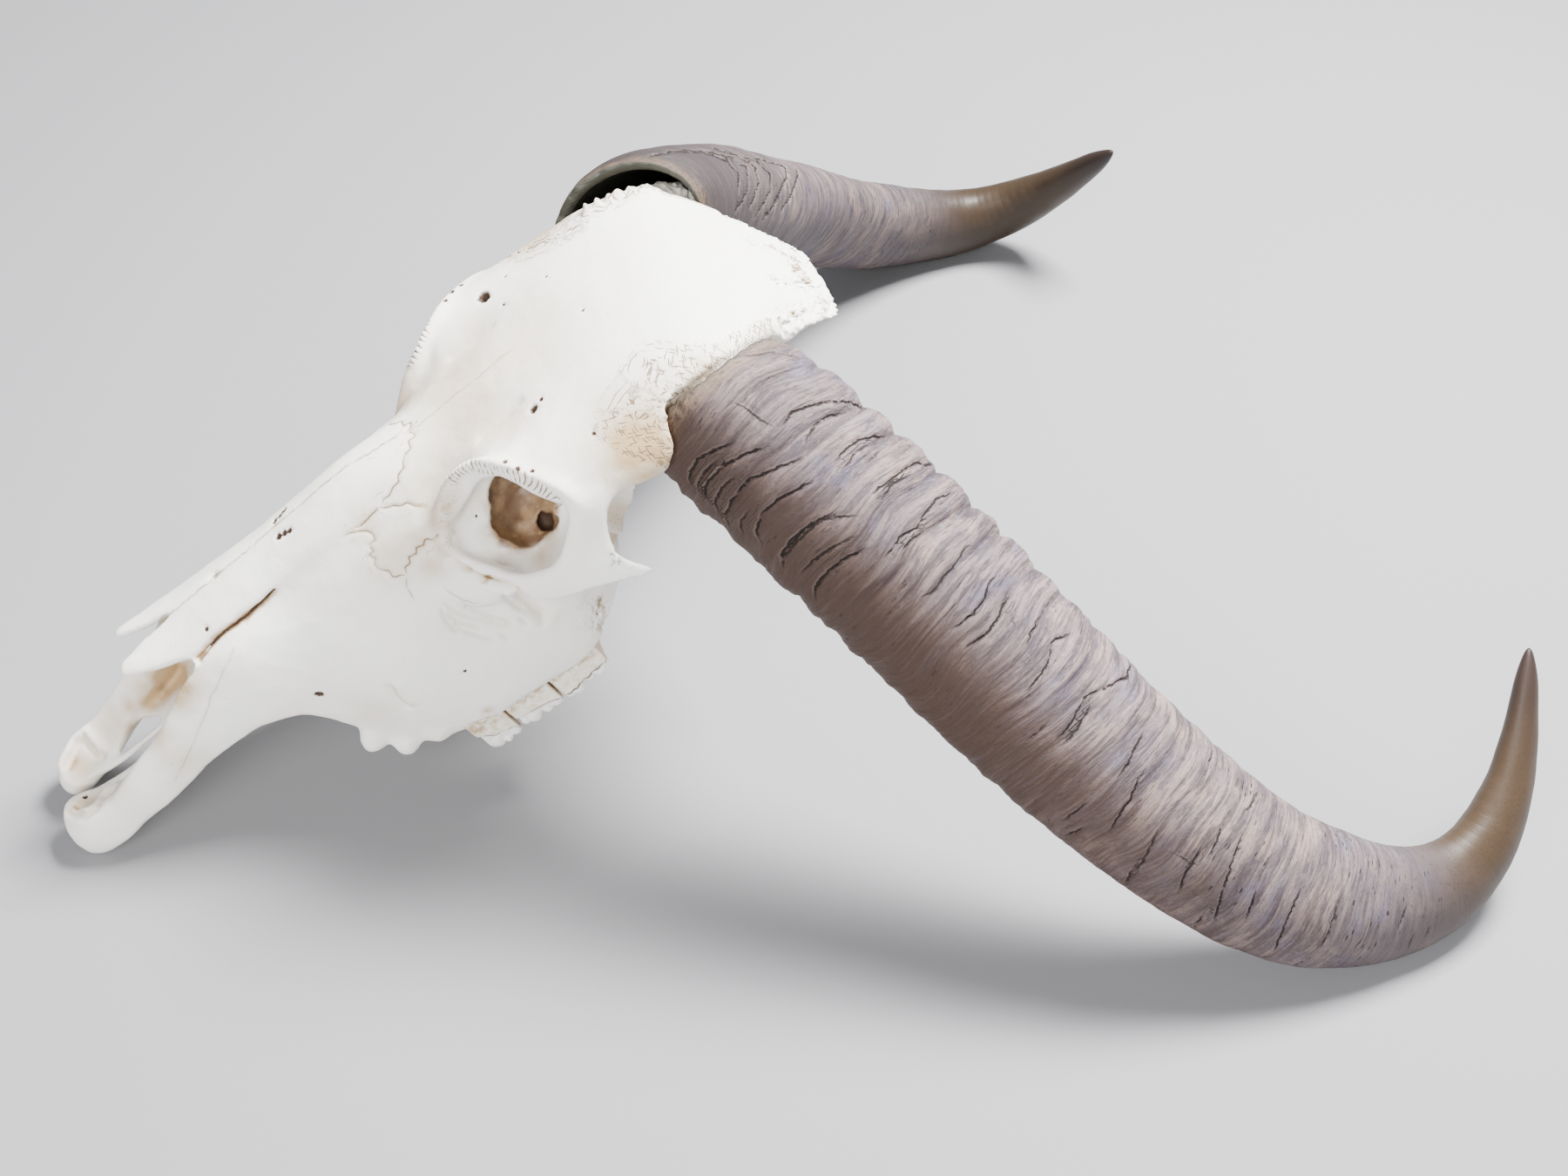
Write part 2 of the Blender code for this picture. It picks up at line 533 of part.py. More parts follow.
def horn_ring(frame, place, grow, around, ridge=0.0):
    """One ring of the horn's outline, its half widths changed by grow. Places before 0 run straight on."""
    fine, centres, tangents, axes = frame
    held = min(max(place, 0.0), 1.0)
    centre = np.array([np.interp(held, fine, centres[:, k]) for k in range(3)])
    tangent = np.array([np.interp(held, fine, tangents[:, k]) for k in range(3)])
    tangent /= np.linalg.norm(tangent)
    first = np.array([np.interp(held, fine, axes[:, k]) for k in range(3)])
    first -= first.dot(tangent) * tangent
    first /= np.linalg.norm(first)
    second = np.cross(tangent, first)
    length = np.linalg.norm(np.diff(centres, axis=0), axis=1).sum()
    centre = centre + tangent * (min(place, 0.0) + max(place - 1.0, 0.0)) * length
    sizes = np.array(HORN_SIZES)
    wide = np.interp(held, sizes[:, 0], sizes[:, 1])
    thin = np.interp(held, sizes[:, 0], sizes[:, 2])
    twist = np.interp(held, *np.array(HORN_TWIST).T)
    rounded = max(0.0, 1.0 - held / MOUTH_ROUNDED)
    swell = grow + ridge - MOUTH_ROUNDING * rounded**2
    leaning = max(0.0, 1.0 - held / LEAN_ENDS)
    ring = []
    for j in range(around):
        turn = 2.0 * math.pi * j / around
        u = (wide + swell) * math.cos(turn)
        v = (thin + swell) * math.sin(turn)
        a = u * math.cos(twist) - v * math.sin(twist)
        b = u * math.sin(twist) + v * math.cos(twist)
        along = leaning * (MOUTH_SLANT * math.cos(turn) - MOUTH_LEAN * math.sin(turn))
        ring.append(centre + first * a + second * b + tangent * along)
    return ring


def ridge_at(place):
    if place > RIDGES_END:
        return 0.0
    fade = 1.0 - (place / RIDGES_END) ** 3
    return RIDGE_HEIGHT * fade * math.cos(2.0 * math.pi * RIDGES * place / RIDGES_END)


def horn_sheath(name, frame, into, cutters, under, loose=False):
    """A hollow horn with growth ridges. The loose one is the other's mirror image, slipped and smoother."""
    around = 16
    basal = np.linspace(0.0, RIDGES_END, 2 * RIDGES + 1)
    far = np.linspace(RIDGES_END, 1.0, 9)[1:]
    height = 0.5 if loose else 1.0
    rings = [horn_ring(frame, p, 0.0, around, height * ridge_at(p)) for p in (*basal, *far)]
    sheath = skin(name, rings, into)
    hollow_rings = []
    for place in np.linspace(HOLLOW_START, SHEATH_HOLLOW, 12):
        hollow_rings.append(horn_ring(frame, place, -wall_at(place), around))
    hollow = skin(name + "_hollow", hollow_rings, cutters)
    if loose:
        to_the_right(sheath, 1.0)
        to_the_right(hollow, 1.0)
    cut(sheath, [hollow, under])
    return sheath


def wall_at(place):
    """The sheath's thickness, which grows as the hollow narrows to its end."""
    depth = max(place, 0.0) / SHEATH_HOLLOW
    return SHEATH_WALL + (DEEP_WALL - SHEATH_WALL) * depth**3


def horn_core(name, frame, clearance, end, into):
    """The bony core inside a sheath, rooted in the frontal bone."""
    around = 20
    rings = [horn_ring(frame, place, -thinner, around) for place, thinner in CORE_ROOTS]
    for place in np.linspace(CORE_START, end, 12):
        rings.append(horn_ring(frame, place, -wall_at(place) - clearance, around))
    return skin(name, rings, into)


def room_for_sheath(frame, into):
    """Clears the bone from where the sheath's mouth sits."""
    rings = []
    for place in np.linspace(-0.004, SHEATH_ROOM_ENDS, 12):
        rings.append(horn_ring(frame, place, SHEATH_ROOM, 24))
    return skin("room_for_sheath", rings, into)


def loose_placing(share=1.0):
    """Where the loose right sheath has slipped to, from the left one's mirror image."""
    x, y, z = (share * turn for turn in LOOSE_TURN)
    turn = Matrix.Rotation(z, 4, "Z") @ Matrix.Rotation(y, 4, "Y") @ Matrix.Rotation(x, 4, "X")
    return (
        Matrix.Translation(LOOSE_PIVOT + share * LOOSE_SHIFT)
        @ turn
        @ Matrix.Translation(-LOOSE_PIVOT)
    )


def to_the_right(piece, share):
    """Turns a piece made for the left horn into the one on the right, slipped by a share of the way."""
    piece.data.transform(loose_placing(share) @ Matrix.Scale(-1.0, 4, (1.0, 0.0, 0.0)))
    piece.data.flip_normals()


def tooth_outline(length, around):
    """A molar seen from below: two lobes with ribs on the cheek side, rounded on the tongue side."""
    outline = []
    for j in range(around):
        turn = 2.0 * math.pi * j / around
        along = math.copysign(abs(math.cos(turn)) ** 0.55, math.cos(turn)) * length / 2.0
        across = math.copysign(abs(math.sin(turn)) ** 0.6, math.sin(turn)) * TOOTH_WIDTH / 2.0
        pinch = 1.0 + 0.07 * math.cos(2.0 * math.pi * TOOTH_LOBES * (along / length + 0.5))
        outline.append((along, across * (2.0 - pinch)))
    return outline


def tooth_axes():
    row = (ROW_END - ROW_START).normalized()
    out = Vector((1.0, 0.0, 0.0))
    out = (out - row * out.dot(row)).normalized()
    down = out.cross(row).normalized()
    if down.z > 0.0:
        down = -down
    return row, out, down


def molar(name, start, length, crown, into, room=0.0, around=14):
    """A molar in its socket: the root above the gum line, the crown below it."""
    row, out, down = tooth_axes()
    place = ROW_START + row * (start + length / 2.0) - out * (TOOTH_WIDTH / 2.0)
    rings = []
    levels = ((-ROOT, 0.90), (-0.002, 0.97), (0.35 * crown, 1.0), (0.85 * crown, 0.96), (crown, 0.82))
    for depth, swell in levels:
        if room and depth > 0.0:
            depth += crown
        ring = []
        for along, across in tooth_outline(length - GAP, around):
            along *= swell + 2.0 * room / length
            across *= swell + 2.0 * room / TOOTH_WIDTH
            ring.append(place + row * along + out * across + down * (depth - (room if depth < 0 else 0)))
        rings.append(ring)
    return skin(name, rings, into)


def molar_row(into, room=0.0):
    made = []
    start = 0.0
    for number, length, crown in MOLARS:
        name = "socket_" if room else "molar_"
        made.append(molar(name + number, start, length, crown, into, room))
        start += length
    return made


def bone(into, cutters, frame, under):
    """Everything that is bone: hollowed, fused, smoothed, thinned out to facets, then cut to fit."""
    face = face_mass(into)
    top = roof(into)
    bar = postorbital_bar(into)
    wall = temporal_wall(into)
    nose = nasal_cavity(cutters)
    choanae = throat(cutters)
    hollows = both_sides([ball(name, place, size, cutters) for name, place, size in HOLLOWS], cutters)
    clearing = room_for_sheath(frame, cutters)
    loose_clearing = mirrored(clearing, cutters)
    loose_clearing.data.transform(loose_placing())
    cut(face, [nose, choanae] + hollows)
    cut(top, hollows + [clearing, loose_clearing])
    sides = [
        nasal_bone(into),
        premaxilla(into),
        palatine_process(into),
        palate(into),
        orbit_rim(into),
        cheekbone(into),
        bar,
        cheek_root(into),
        wall,
    ]
    sides += sockets_of_lost_premolars(into)
    left_core = horn_core("core_left", frame, CORE_CLEARANCE, CORE_END, into)
    right_core = horn_core("core_right", frame, LOOSE_CORE_CLEARANCE, LOOSE_CORE_END, into)
    to_the_right(right_core, LOOSE_CORE_SHARE)
    pieces = [face, top, left_core, right_core] + both_sides(sides, into)
    whole = baked(pieces, "fused", into)
    fused = whole.modifiers.new("fused", "REMESH")
    fused.mode = "VOXEL"
    fused.voxel_size = BONE_VOXEL
    worn = whole.modifiers.new("worn", "SMOOTH")
    worn.factor = 0.5
    worn.iterations = SMOOTHING
    whole = baked([whole], "smoothed", into)
    triangles = sum(len(polygon.vertices) - 2 for polygon in whole.data.polygons)
    facets = whole.modifiers.new("facets", "DECIMATE")
    facets.ratio = BONE_TRIANGLES / triangles
    whole = baked([whole], "skull", into)
    cut(whole, both_sides(molar_row(cutters, room=GAP), cutters) + [under])
    return whole


def floor(into):
    """What is under the floor's level, cut away so that the object lies on flat spots."""
    body = bmesh.new()
    bmesh.ops.create_cube(body, size=1.0)
    mesh = bpy.data.meshes.new("floor")
    body.to_mesh(mesh)
    body.free()
    mesh.transform(Matrix.Translation((0.0, 0.4, FLOOR - 0.5)))
    made = bpy.data.objects.new("floor", mesh)
    into.objects.link(made)
    return made


def main():
    clear_scene()
    parts = collection(OBJECT)
    cutters = collection("cutters")
    frame = horn_frame()
    under = floor(cutters)
    skull = bone(parts, cutters, frame, under)
    skull.data.materials.append(material("bone", (0.86, 0.80, 0.68), 0.62))
    horn_colour = material("horn", (0.16, 0.12, 0.10), 0.55)
    left = horn_sheath("horn_sheath_left", frame, parts, cutters, under)
    right = horn_sheath("horn_sheath_right", frame, parts, cutters, under, loose=True)
    for sheath in (left, right):
        sheath.data.materials.append(horn_colour)
    tooth_colour = material("tooth", (0.80, 0.74, 0.58), 0.35)
    for tooth in molar_row(parts):
        tooth.data.materials.append(tooth_colour)
        mirrored(tooth, parts)
        tooth.name += "_left"
    for thing in bpy.data.objects:
        thing.data.transform(Matrix.Translation(-ORIGIN))
        thing.data.shade_smooth()


main()
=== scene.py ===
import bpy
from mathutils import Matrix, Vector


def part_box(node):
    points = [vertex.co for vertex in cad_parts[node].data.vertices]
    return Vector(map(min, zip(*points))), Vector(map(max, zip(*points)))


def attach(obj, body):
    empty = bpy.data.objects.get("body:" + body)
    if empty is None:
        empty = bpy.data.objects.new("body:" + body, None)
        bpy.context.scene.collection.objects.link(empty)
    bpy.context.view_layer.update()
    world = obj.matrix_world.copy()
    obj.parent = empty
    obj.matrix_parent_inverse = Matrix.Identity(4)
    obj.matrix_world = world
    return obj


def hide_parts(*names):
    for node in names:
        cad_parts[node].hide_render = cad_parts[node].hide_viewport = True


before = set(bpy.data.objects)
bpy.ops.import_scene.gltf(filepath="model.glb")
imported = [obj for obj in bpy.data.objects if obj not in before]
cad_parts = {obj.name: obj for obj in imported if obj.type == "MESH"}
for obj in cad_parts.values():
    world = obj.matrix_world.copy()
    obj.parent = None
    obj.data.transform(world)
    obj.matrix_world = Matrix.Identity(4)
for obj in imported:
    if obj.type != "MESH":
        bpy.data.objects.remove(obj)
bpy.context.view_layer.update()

import math

import bpy
import numpy as np
from mathutils import Matrix, Vector, noise
from mathutils.bvhtree import BVHTree
from mathutils.kdtree import KDTree


# The viewpoint.
# The skull was seen from its left side, in front of it and well above, through a normal lens
# about 1.3 m away. A pixel of that picture is a line of sight from here.
PICTURE_WIDE, PICTURE_HIGH = 1800, 1350
FILM_WIDTH, LENS = 36.0, 49.0
EYE = Vector((0.85752, -0.24618, 0.97534))
BACKWARD = Vector((0.6576, -0.22386, 0.71934)).normalized()
RIGHTWARD = Vector((0.0, 0.0, 1.0)).cross(BACKWARD).normalized()
UPWARD = BACKWARD.cross(RIGHTWARD)

bpy.ops.object.camera_add()
camera = bpy.context.object
camera.name = "viewpoint"
camera.data.sensor_width = FILM_WIDTH
camera.data.lens = LENS
camera.matrix_world = (
    Matrix.Translation(EYE) @ Matrix((RIGHTWARD, UPWARD, BACKWARD)).transposed().to_4x4()
)
bpy.context.scene.camera = camera


def sight(pixel):
    """The direction in which the eye sees a pixel of the picture."""
    scale = PICTURE_WIDE * LENS / FILM_WIDTH
    right = (pixel[0] - PICTURE_WIDE / 2) / scale
    up = (PICTURE_HIGH / 2 - pixel[1]) / scale
    return (RIGHTWARD * right + UPWARD * up - BACKWARD).normalized()


# The skull.
# One dry, sun-bleached bone without its lower jaw: the premaxillae, the nasal bones, the maxillae,
# the broken eye sockets and cheekbones, and the frontal roof with its two horn cores. The back of
# the braincase is broken away.
MIDDLE = 0.009  # X of the animal's own middle plane
SEAM_REACH, SEAM_TAPER = 0.006, 0.004
SWAYS_PER_PIXEL = 0.16  # waves along a line that isn't steady
SEWN = 0.00001  # points this close are one
SKULL_VOXEL, SKULL_FACES = 0.0012, 196000

# Grooves cut along the lines below: depth, half width and reach to each side
SEAM_CUT, SCAR_CUT = (0.0007, 0.0009, SEAM_REACH), (0.0015, 0.0016, SEAM_REACH)
RECESS_CUT, DISH_CUT = (0.006, 0.005, 0.014), (0.0024, 0.0022, 0.008)
BROW_CUT = (0.001, 0.0028, 0.009)
SLIT_DEPTH, SLIT_WIDTH, SLIT_NARROWING = 0.005, 0.0019, 0.015
FOLD_RIDGE, FOLD_TROUGH, FOLD_REACH = 0.0022, 0.0028, 0.01
COMB_DEPTH, COMB_WIDTH, COMB_PITCH, COMB_REACH = 0.0013, 0.003, 0.0029, 0.009
BREAK_DEPTH, BREAK_BITE, BREAK_REACH = 0.001, 0.0095, 0.01
CRUST_HEIGHT, CRUST_LUMPS, FIBRE_DEPTH = 0.0042, 0.0022, 0.0012

# Seams between the bones, cracks and scars, as the eye sees them in the picture: the x and y of one
# pixel after another
NOSE_SEAM = (
    166, 726, 182, 714, 200, 700, 220, 683, 240, 667, 258, 652, 275, 638, 300, 616, 335, 587,
    370, 557, 400, 533, 425, 519, 445, 506, 460, 497,
)
BROW_SEAM = (460, 497, 480, 488, 500, 472, 520, 455, 540, 440, 560, 423, 574, 411, 590, 400)
ROOT_SEAM = (
    462, 497, 472, 495, 476, 500, 467, 506, 471, 514, 464, 522, 461, 530, 463, 537, 456, 545,
    457, 553, 450, 561, 447, 568, 441, 573, 436, 582,
)
TEAR_SEAM = (434, 584, 444, 583, 452, 580, 460, 581, 467, 577, 475, 581, 483, 582, 491, 580)
CHEEK_SEAM = (436, 582, 428, 589, 420, 598, 412, 605, 403, 608)
TEAR_EDGE = (
    392, 617, 402, 612, 412, 610, 420, 609, 428, 613, 430, 620, 423, 626, 429, 633, 422, 638,
    432, 641, 429, 648, 437, 654, 447, 656, 452, 664, 460, 660, 467, 661,
)
TEAR_BACK = (
    467, 661, 465, 652, 471, 646, 469, 640, 477, 636, 478, 629, 486, 626, 488, 619, 496, 620,
    505, 612,
)
TEAR_SCAR = (467, 661, 466, 671, 470, 680, 476, 690)
SNOUT_SEAM = (
    270, 740, 264, 757, 254, 775, 249, 790, 242, 800, 238, 816, 231, 832, 223, 852, 211, 878,
    199, 900,
)
SOCKET_SCAR = (508, 674, 516, 680, 524, 685, 532, 689, 541, 692, 552, 693)
MUSCLE_SCARS = (
    (508, 690, 516, 699, 524, 705, 534, 709, 547, 712, 560, 714, 574, 718, 590, 721),
    (519, 713, 524, 720, 533, 726, 545, 730, 557, 734, 570, 738),
    (527, 690, 537, 697, 550, 704, 563, 708, 578, 713),
    (575, 682, 585, 692, 594, 699, 606, 704),
    (571, 727, 578, 731, 586, 737),
    (592, 708, 600, 713, 607, 720),
    (512, 702, 517, 709, 524, 714, 533, 718, 545, 721, 556, 725),
    (505, 697, 509, 706, 514, 715, 521, 723, 530, 730),
    (540, 700, 552, 706, 566, 711, 580, 713, 592, 719),
)
SEAMS = (  # with their strength
    (NOSE_SEAM, 0.8), (BROW_SEAM, 0.45), (ROOT_SEAM, 0.9), (TEAR_SEAM, 1.0), (CHEEK_SEAM, 1.0),
    (TEAR_EDGE, 0.8), (TEAR_BACK, 1.0), (TEAR_SCAR, 0.6), (SNOUT_SEAM, 0.35), (SOCKET_SCAR, 0.55),
)
MIDDLE_SEAMS = (NOSE_SEAM, BROW_SEAM)

# Deep lines: the open slit between nasal and premaxilla, the recess under the eye socket, the fold
# of the gum, the dish of the right premaxilla, and the fold around the tip of the left one
NOSE_SLIT = (
    223, 762, 229, 754, 235, 746, 246, 735, 258, 725, 270, 717, 281, 709, 293, 700, 304, 691,
    318, 676,
)
SOCKET_RECESS = (
    505, 640, 517, 648, 532, 654, 548, 660, 564, 666, 578, 674, 592, 684, 606, 694, 620, 705,
    633, 713,
)
ALVEOLAR_FOLD = (449, 784, 453, 794, 459, 802, 466, 808, 476, 812)
RIGHT_DISH = (88, 868, 84, 874, 80, 881, 77, 887)
SNOUT_FOLD = (67, 921, 74, 929, 86, 934, 98, 933, 110, 926, 121, 913, 131, 902)

# Hollows cut deeper into the eye sockets: x and y of a pixel, half width, depth behind the surface
HOLLOWS = (
    (598, 588, 0.0175, 0.004), (578, 560, 0.0125, 0.002), (610, 572, 0.012, 0.002),
    (626, 598, 0.0065, 0.006),
)

# Edges where the bone broke off, thin and ragged, each after a pixel towards which it is worn back
BROKEN_EDGES = (
    ((780, 330), (851, 266, 873, 278, 894, 285, 909, 292, 917, 299, 919, 308, 930, 317, 942, 328,
     950, 341, 955, 353, 944, 356, 933, 360, 922, 363, 905, 368, 895, 376)),
    ((600, 740), (692, 678, 694, 690, 692, 705, 694, 717, 690, 728, 688, 742)),
    ((690, 620), (700, 640, 716, 646, 730, 650, 742, 650, 748, 644, 740, 636)),
)

# The crust on the bare rim of the right horn core: x and y of a pixel, half width in metres
CORE_CRUST = (
    (742, 221, 0.007), (760, 218, 0.008), (778, 220, 0.008), (793, 228, 0.006), (726, 222, 0.0045),
    (712, 226, 0.004), (700, 231, 0.0035), (688, 236, 0.003), (676, 242, 0.0028),
)

# Holes for nerves and vessels, on both sides or on one: x and y of a pixel, half width, depth
HOLES = (
    (367, 797, 0.0017, 0.0045), (626, 600, 0.0036, 0.005), (320, 616, 0.0012, 0.0028),
    (326, 612, 0.0012, 0.0028), (332, 609, 0.0012, 0.0028), (237, 722, 0.0008, 0.0015),
    (580, 530, 0.0009, 0.0016), (594, 538, 0.001, 0.0018), (611, 541, 0.0009, 0.0016),
    (621, 457, 0.0008, 0.0012), (682, 497, 0.0008, 0.0012), (534, 770, 0.0006, 0.001),
    (547, 593, 0.0007, 0.0012),
)
SINGLE_HOLES = (
    (612, 470, 0.0017, 0.005), (98, 915, 0.001, 0.003), (690, 703, 0.0012, 0.0025),
    (692, 692, 0.0008, 0.0015), (555, 341, 0.0026, 0.006), (580, 317, 0.0008, 0.0012),
    (627, 318, 0.0007, 0.001), (669, 356, 0.0009, 0.0014),
)

# The brow's furrow, the comb of pits on the eye socket's upper rim, and the rim at the left horn
BROW_GROOVE = (603, 455, 592, 464, 578, 478, 560, 494, 545, 508)
SOCKET_COMB = (
    512, 558, 519, 546, 528, 540, 538, 535, 550, 537, 562, 540, 573, 543, 585, 546, 597, 549,
    606, 553, 614, 558, 622, 563, 629, 568, 636, 573, 642, 579, 647, 586,
)
HORN_RIM = (
    893, 376, 860, 389, 838, 401, 820, 415, 808, 427, 797, 440, 789, 452, 786, 466, 775, 482,
    763, 494, 757, 506, 751, 520, 747, 533,
)
# Brown stains on the bone, and painted shade: in the nose cavity, in the eye sockets, under the
# sockets' rims and beside the left horn's root
STAINS_AND_SHADE = (  # x and y of a pixel, half width in metres, strength
    (498, 570, 0.02, 0.55), (540, 470, 0.032, 0.6), (600, 400, 0.038, 0.42), (480, 455, 0.02, 0.4),
    (545, 380, 0.018, 0.45), (728, 520, 0.022, 1.0), (505, 632, 0.009, 0.5), (632, 708, 0.004, 0.3),
    (100, 922, 0.011, 0.7), (160, 860, 0.012, 0.6), (180, 845, 0.01, 0.6), (138, 880, 0.008, 0.6),
    (212, 775, 0.012, 1.0), (190, 790, 0.012, 1.0), (170, 805, 0.01, 0.9), (150, 812, 0.008, 0.7),
    (455, 640, 0.016, 0.45), (430, 818, 0.016, 0.25), (496, 650, 0.009, 0.6),
    (590, 640, 0.01, 0.25), (622, 640, 0.008, 0.7), (512, 583, 0.005, 0.7), (560, 815, 0.003, 0.9),
    (606, 805, 0.003, 0.7), (638, 780, 0.003, 1.0), (745, 545, 0.01, 0.9), (790, 460, 0.008, 0.5),
    (812, 430, 0.008, 0.4), (730, 505, 0.013, 0.9), (748, 520, 0.01, 1.0), (770, 480, 0.009, 0.6),
    (700, 490, 0.02, 0.4), (185, 775, 0.01, 1.0), (165, 790, 0.009, 0.6), (150, 835, 0.008, 0.7),
    (205, 800, 0.009, 0.9), (175, 825, 0.008, 0.9), (118, 900, 0.009, 0.6), (640, 520, 0.03, 0.18),
    (560, 610, 0.006, 0.45), (552, 575, 0.007, 0.35), (600, 625, 0.01, 0.6),
    (632, 625, 0.007, 0.55), (500, 600, 0.012, 0.55), (478, 620, 0.014, 0.45),
    (420, 600, 0.012, 0.35), (552, 700, 0.022, 0.12), (693, 690, 0.004, 0.8),
    (712, 590, 0.013, 0.6), (705, 615, 0.008, 0.8), (718, 600, 0.016, 0.6), (692, 720, 0.003, 0.8),
    (130, 830, 0.014, 0.5), (100, 870, 0.012, 0.35), (195, 770, 0.014, 0.95),
    (210, 790, 0.01, 0.95), (88, 874, 0.004, 0.8),
)
POROUS = (  # spongy or crusted places: x and y of a pixel, half width in metres
    (745, 215, 0.011), (765, 210, 0.012), (786, 214, 0.011), (515, 575, 0.0065), (512, 595, 0.006),
    (514, 555, 0.005), (518, 620, 0.005), (677, 690, 0.006), (674, 716, 0.006), (705, 600, 0.008),
)


def only(piece):
    """Selects one piece and nothing else."""
    if bpy.context.mode != "OBJECT":
        bpy.ops.object.mode_set(mode="OBJECT")
    bpy.ops.object.select_all(action="DESELECT")
    piece.select_set(True)
    bpy.context.view_layer.objects.active = piece


def mended(piece, sewn=True, turned=True):
    """Sews the piece's doubled points together and turns its faces outwards."""
    only(piece)
    bpy.ops.object.mode_set(mode="EDIT")
    bpy.ops.mesh.select_all(action="SELECT")
    if sewn:
        bpy.ops.mesh.remove_doubles(threshold=SEWN)
    if turned:
        bpy.ops.mesh.normals_make_consistent(inside=False)
    bpy.ops.object.mode_set(mode="OBJECT")


def copy_of(node, name):
    """The node's shape as a new piece, its loose triangles sewn together."""
    piece = bpy.data.objects.new(name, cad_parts[node].data.copy())
    bpy.context.collection.objects.link(piece)
    piece.data.materials.clear()
    mended(piece, turned=False)
    return piece


def finished(piece, kind, **settings):
    """Puts one modifier on the piece and applies it."""
    only(piece)
    modifier = piece.modifiers.new(kind, kind)
    for name, setting in settings.items():
        setattr(modifier, name, setting)
    bpy.ops.object.modifier_apply(modifier=modifier.name)


def read(piece, what="co"):
    """The piece's points, or the normals at them, as rows of numbers."""
    found = np.empty(len(piece.data.vertices) * 3, np.float32)
    if what == "co":
        piece.data.vertices.foreach_get("co", found)
    else:
        piece.data.vertex_normals.foreach_get("vector", found)
    return found.reshape(-1, 3).astype(float)


def write(piece, points):
    piece.data.vertices.foreach_set("co", np.asarray(points, np.float32).ravel())
    piece.data.update()


def kept_in(piece, points, node):
    """Puts the points on the piece, none of them outside the box of the solid it stands for."""
    low, high = (np.array(corner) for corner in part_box(node))
    write(piece, np.clip(points, low, high))


def surface_of(piece):
    """The piece's faces, to cast rays at."""
    faces = [tuple(polygon.vertices) for polygon in piece.data.polygons]
    return BVHTree.FromPolygons([Vector(point) for point in read(piece)], faces)


def ripple(points, seed=0.0):
    """Smooth noise from about -1 to 1 at each point, whose waves are about 1 unit long."""
    away = Vector((seed, 0.37 * seed, -0.61 * seed))
    return np.array([noise.noise(Vector(point) + away) for point in points.tolist()])


def length(rows):
    """The length of each row's vector."""
    return np.linalg.norm(rows, axis=1)


def heading_of(rows):
    """Each row's vector, made 1 long."""
    return rows / length(rows)[:, None]


def traced(pixels, surface, sway=0.0, pace=3.0):
    """The line on a surface that the eye sees along a row of pixels, unsteady by sway pixels. Where
    the eye looks past the surface, the line has a gap."""
    knots = np.array(pixels, float).reshape(-1, 2)
    lengths = np.r_[0.0, np.cumsum(length(np.diff(knots, axis=0)))]
    places = np.linspace(0.0, lengths[-1], max(int(lengths[-1] / pace), 2) + 1)
    row = np.stack([np.interp(places, lengths, knots[:, k]) for k in (0, 1)], 1)
    heading = heading_of(np.gradient(row, axis=0))
    first = np.broadcast_to(knots[0], row.shape)
    wave = ripple(np.column_stack([places * SWAYS_PER_PIXEL, first]))
    row += heading[:, ::-1] * (1.0, -1.0) * (wave * sway)[:, None]
    seen = [surface.ray_cast(EYE, sight(pixel))[0] for pixel in row]
    return np.array([spot for spot in seen if spot is not None])


def opposite(line, surface):
    """The same line on the animal's other side."""
    flipped = [Vector((2.0 * MIDDLE - x, y, z)) for x, y, z in line]
    return np.array([surface.find_nearest(point)[0] for point in flipped])


def hollowed(piece, surface, x, y, size, depth):
    """Cuts an uneven ball out of the piece behind the spot at a pixel, and its mirror image."""
    spot = surface.ray_cast(EYE, sight((x, y)))[0] + sight((x, y)) * depth
    for side in (spot.x, 2.0 * MIDDLE - spot.x):
        centre = (side, spot.y, spot.z)
        bpy.ops.mesh.primitive_ico_sphere_add(subdivisions=4, radius=size, location=centre)
        ball = bpy.context.object
        shape = read(ball)
        lumps = 0.2 * ripple(shape / (0.8 * size), 13.0) + 0.09 * ripple(shape / (0.3 * size), 15.0)
        write(ball, shape * (1.0 + lumps)[:, None])
        finished(piece, "BOOLEAN", operation="DIFFERENCE", solver="EXACT", object=ball)
        bpy.data.objects.remove(ball)
    return np.array(spot), size


def placed(marks, surface, pairs=True):
    """The marks with their places on the surface instead of their pixels, and their mirror images.
    A mark at which the eye looks past the surface is left out."""
    found = []
    for x, y, *sizes in marks:
        place = surface.ray_cast(EYE, sight((x, y)))[0]
        if place is not None:
            sides = [place] + ([opposite([place], surface)[0]] if pairs else [])
            found += [(np.array(side), *sizes) for side in sides]
    return found


def unit(values):
    """The values, none of them below 0 or above 1."""
    return np.clip(values, 0.0, 1.0)


def bell(distance, width):
    """1 at no distance, about a third at the width, and nearly 0 at twice the width."""
    return np.exp(-((distance / width) ** 2))


def beside(points, normals, lines, reach=SEAM_REACH, taper=SEAM_TAPER):
    """How far each point is to one side of the nearest line, that line's strength there, and how
    far along it. Each line comes with its strength, and thins out to nothing at its ends."""
    nearest = np.full(len(points), reach)
    signed = np.full(len(points), reach)
    strength, along = np.zeros(len(points)), np.zeros(len(points))
    for line, force in lines:
        line = line[np.r_[True, length(np.diff(line, axis=0)) > SEWN]]
        steps = length(np.diff(line, axis=0))
        starts = np.r_[0.0, np.cumsum(steps)]
        near = (points > line.min(0) - reach) & (points < line.max(0) + reach)
        near = np.nonzero(near.all(1))[0]
        for start, begin, end, step in zip(starts, line, line[1:], steps):
            heading = (end - begin) / step
            rise = points[near] - begin
            far = np.clip(rise @ heading, 0.0, step)
            off = rise - far[:, None] * heading
            gap = length(off)
            won = gap < nearest[near]
            spots, gap, at = near[won], gap[won], start + far[won]
            side = (np.cross(normals[spots], heading) * off[won]).sum(1)
            nearest[spots] = gap
            signed[spots] = np.copysign(gap, side)
            thin = unit(np.minimum(at, starts[-1] - at) / taper)
            strength[spots] = force * thin * (1.0 - gap / reach)
            along[spots] = at
    return signed, strength, along


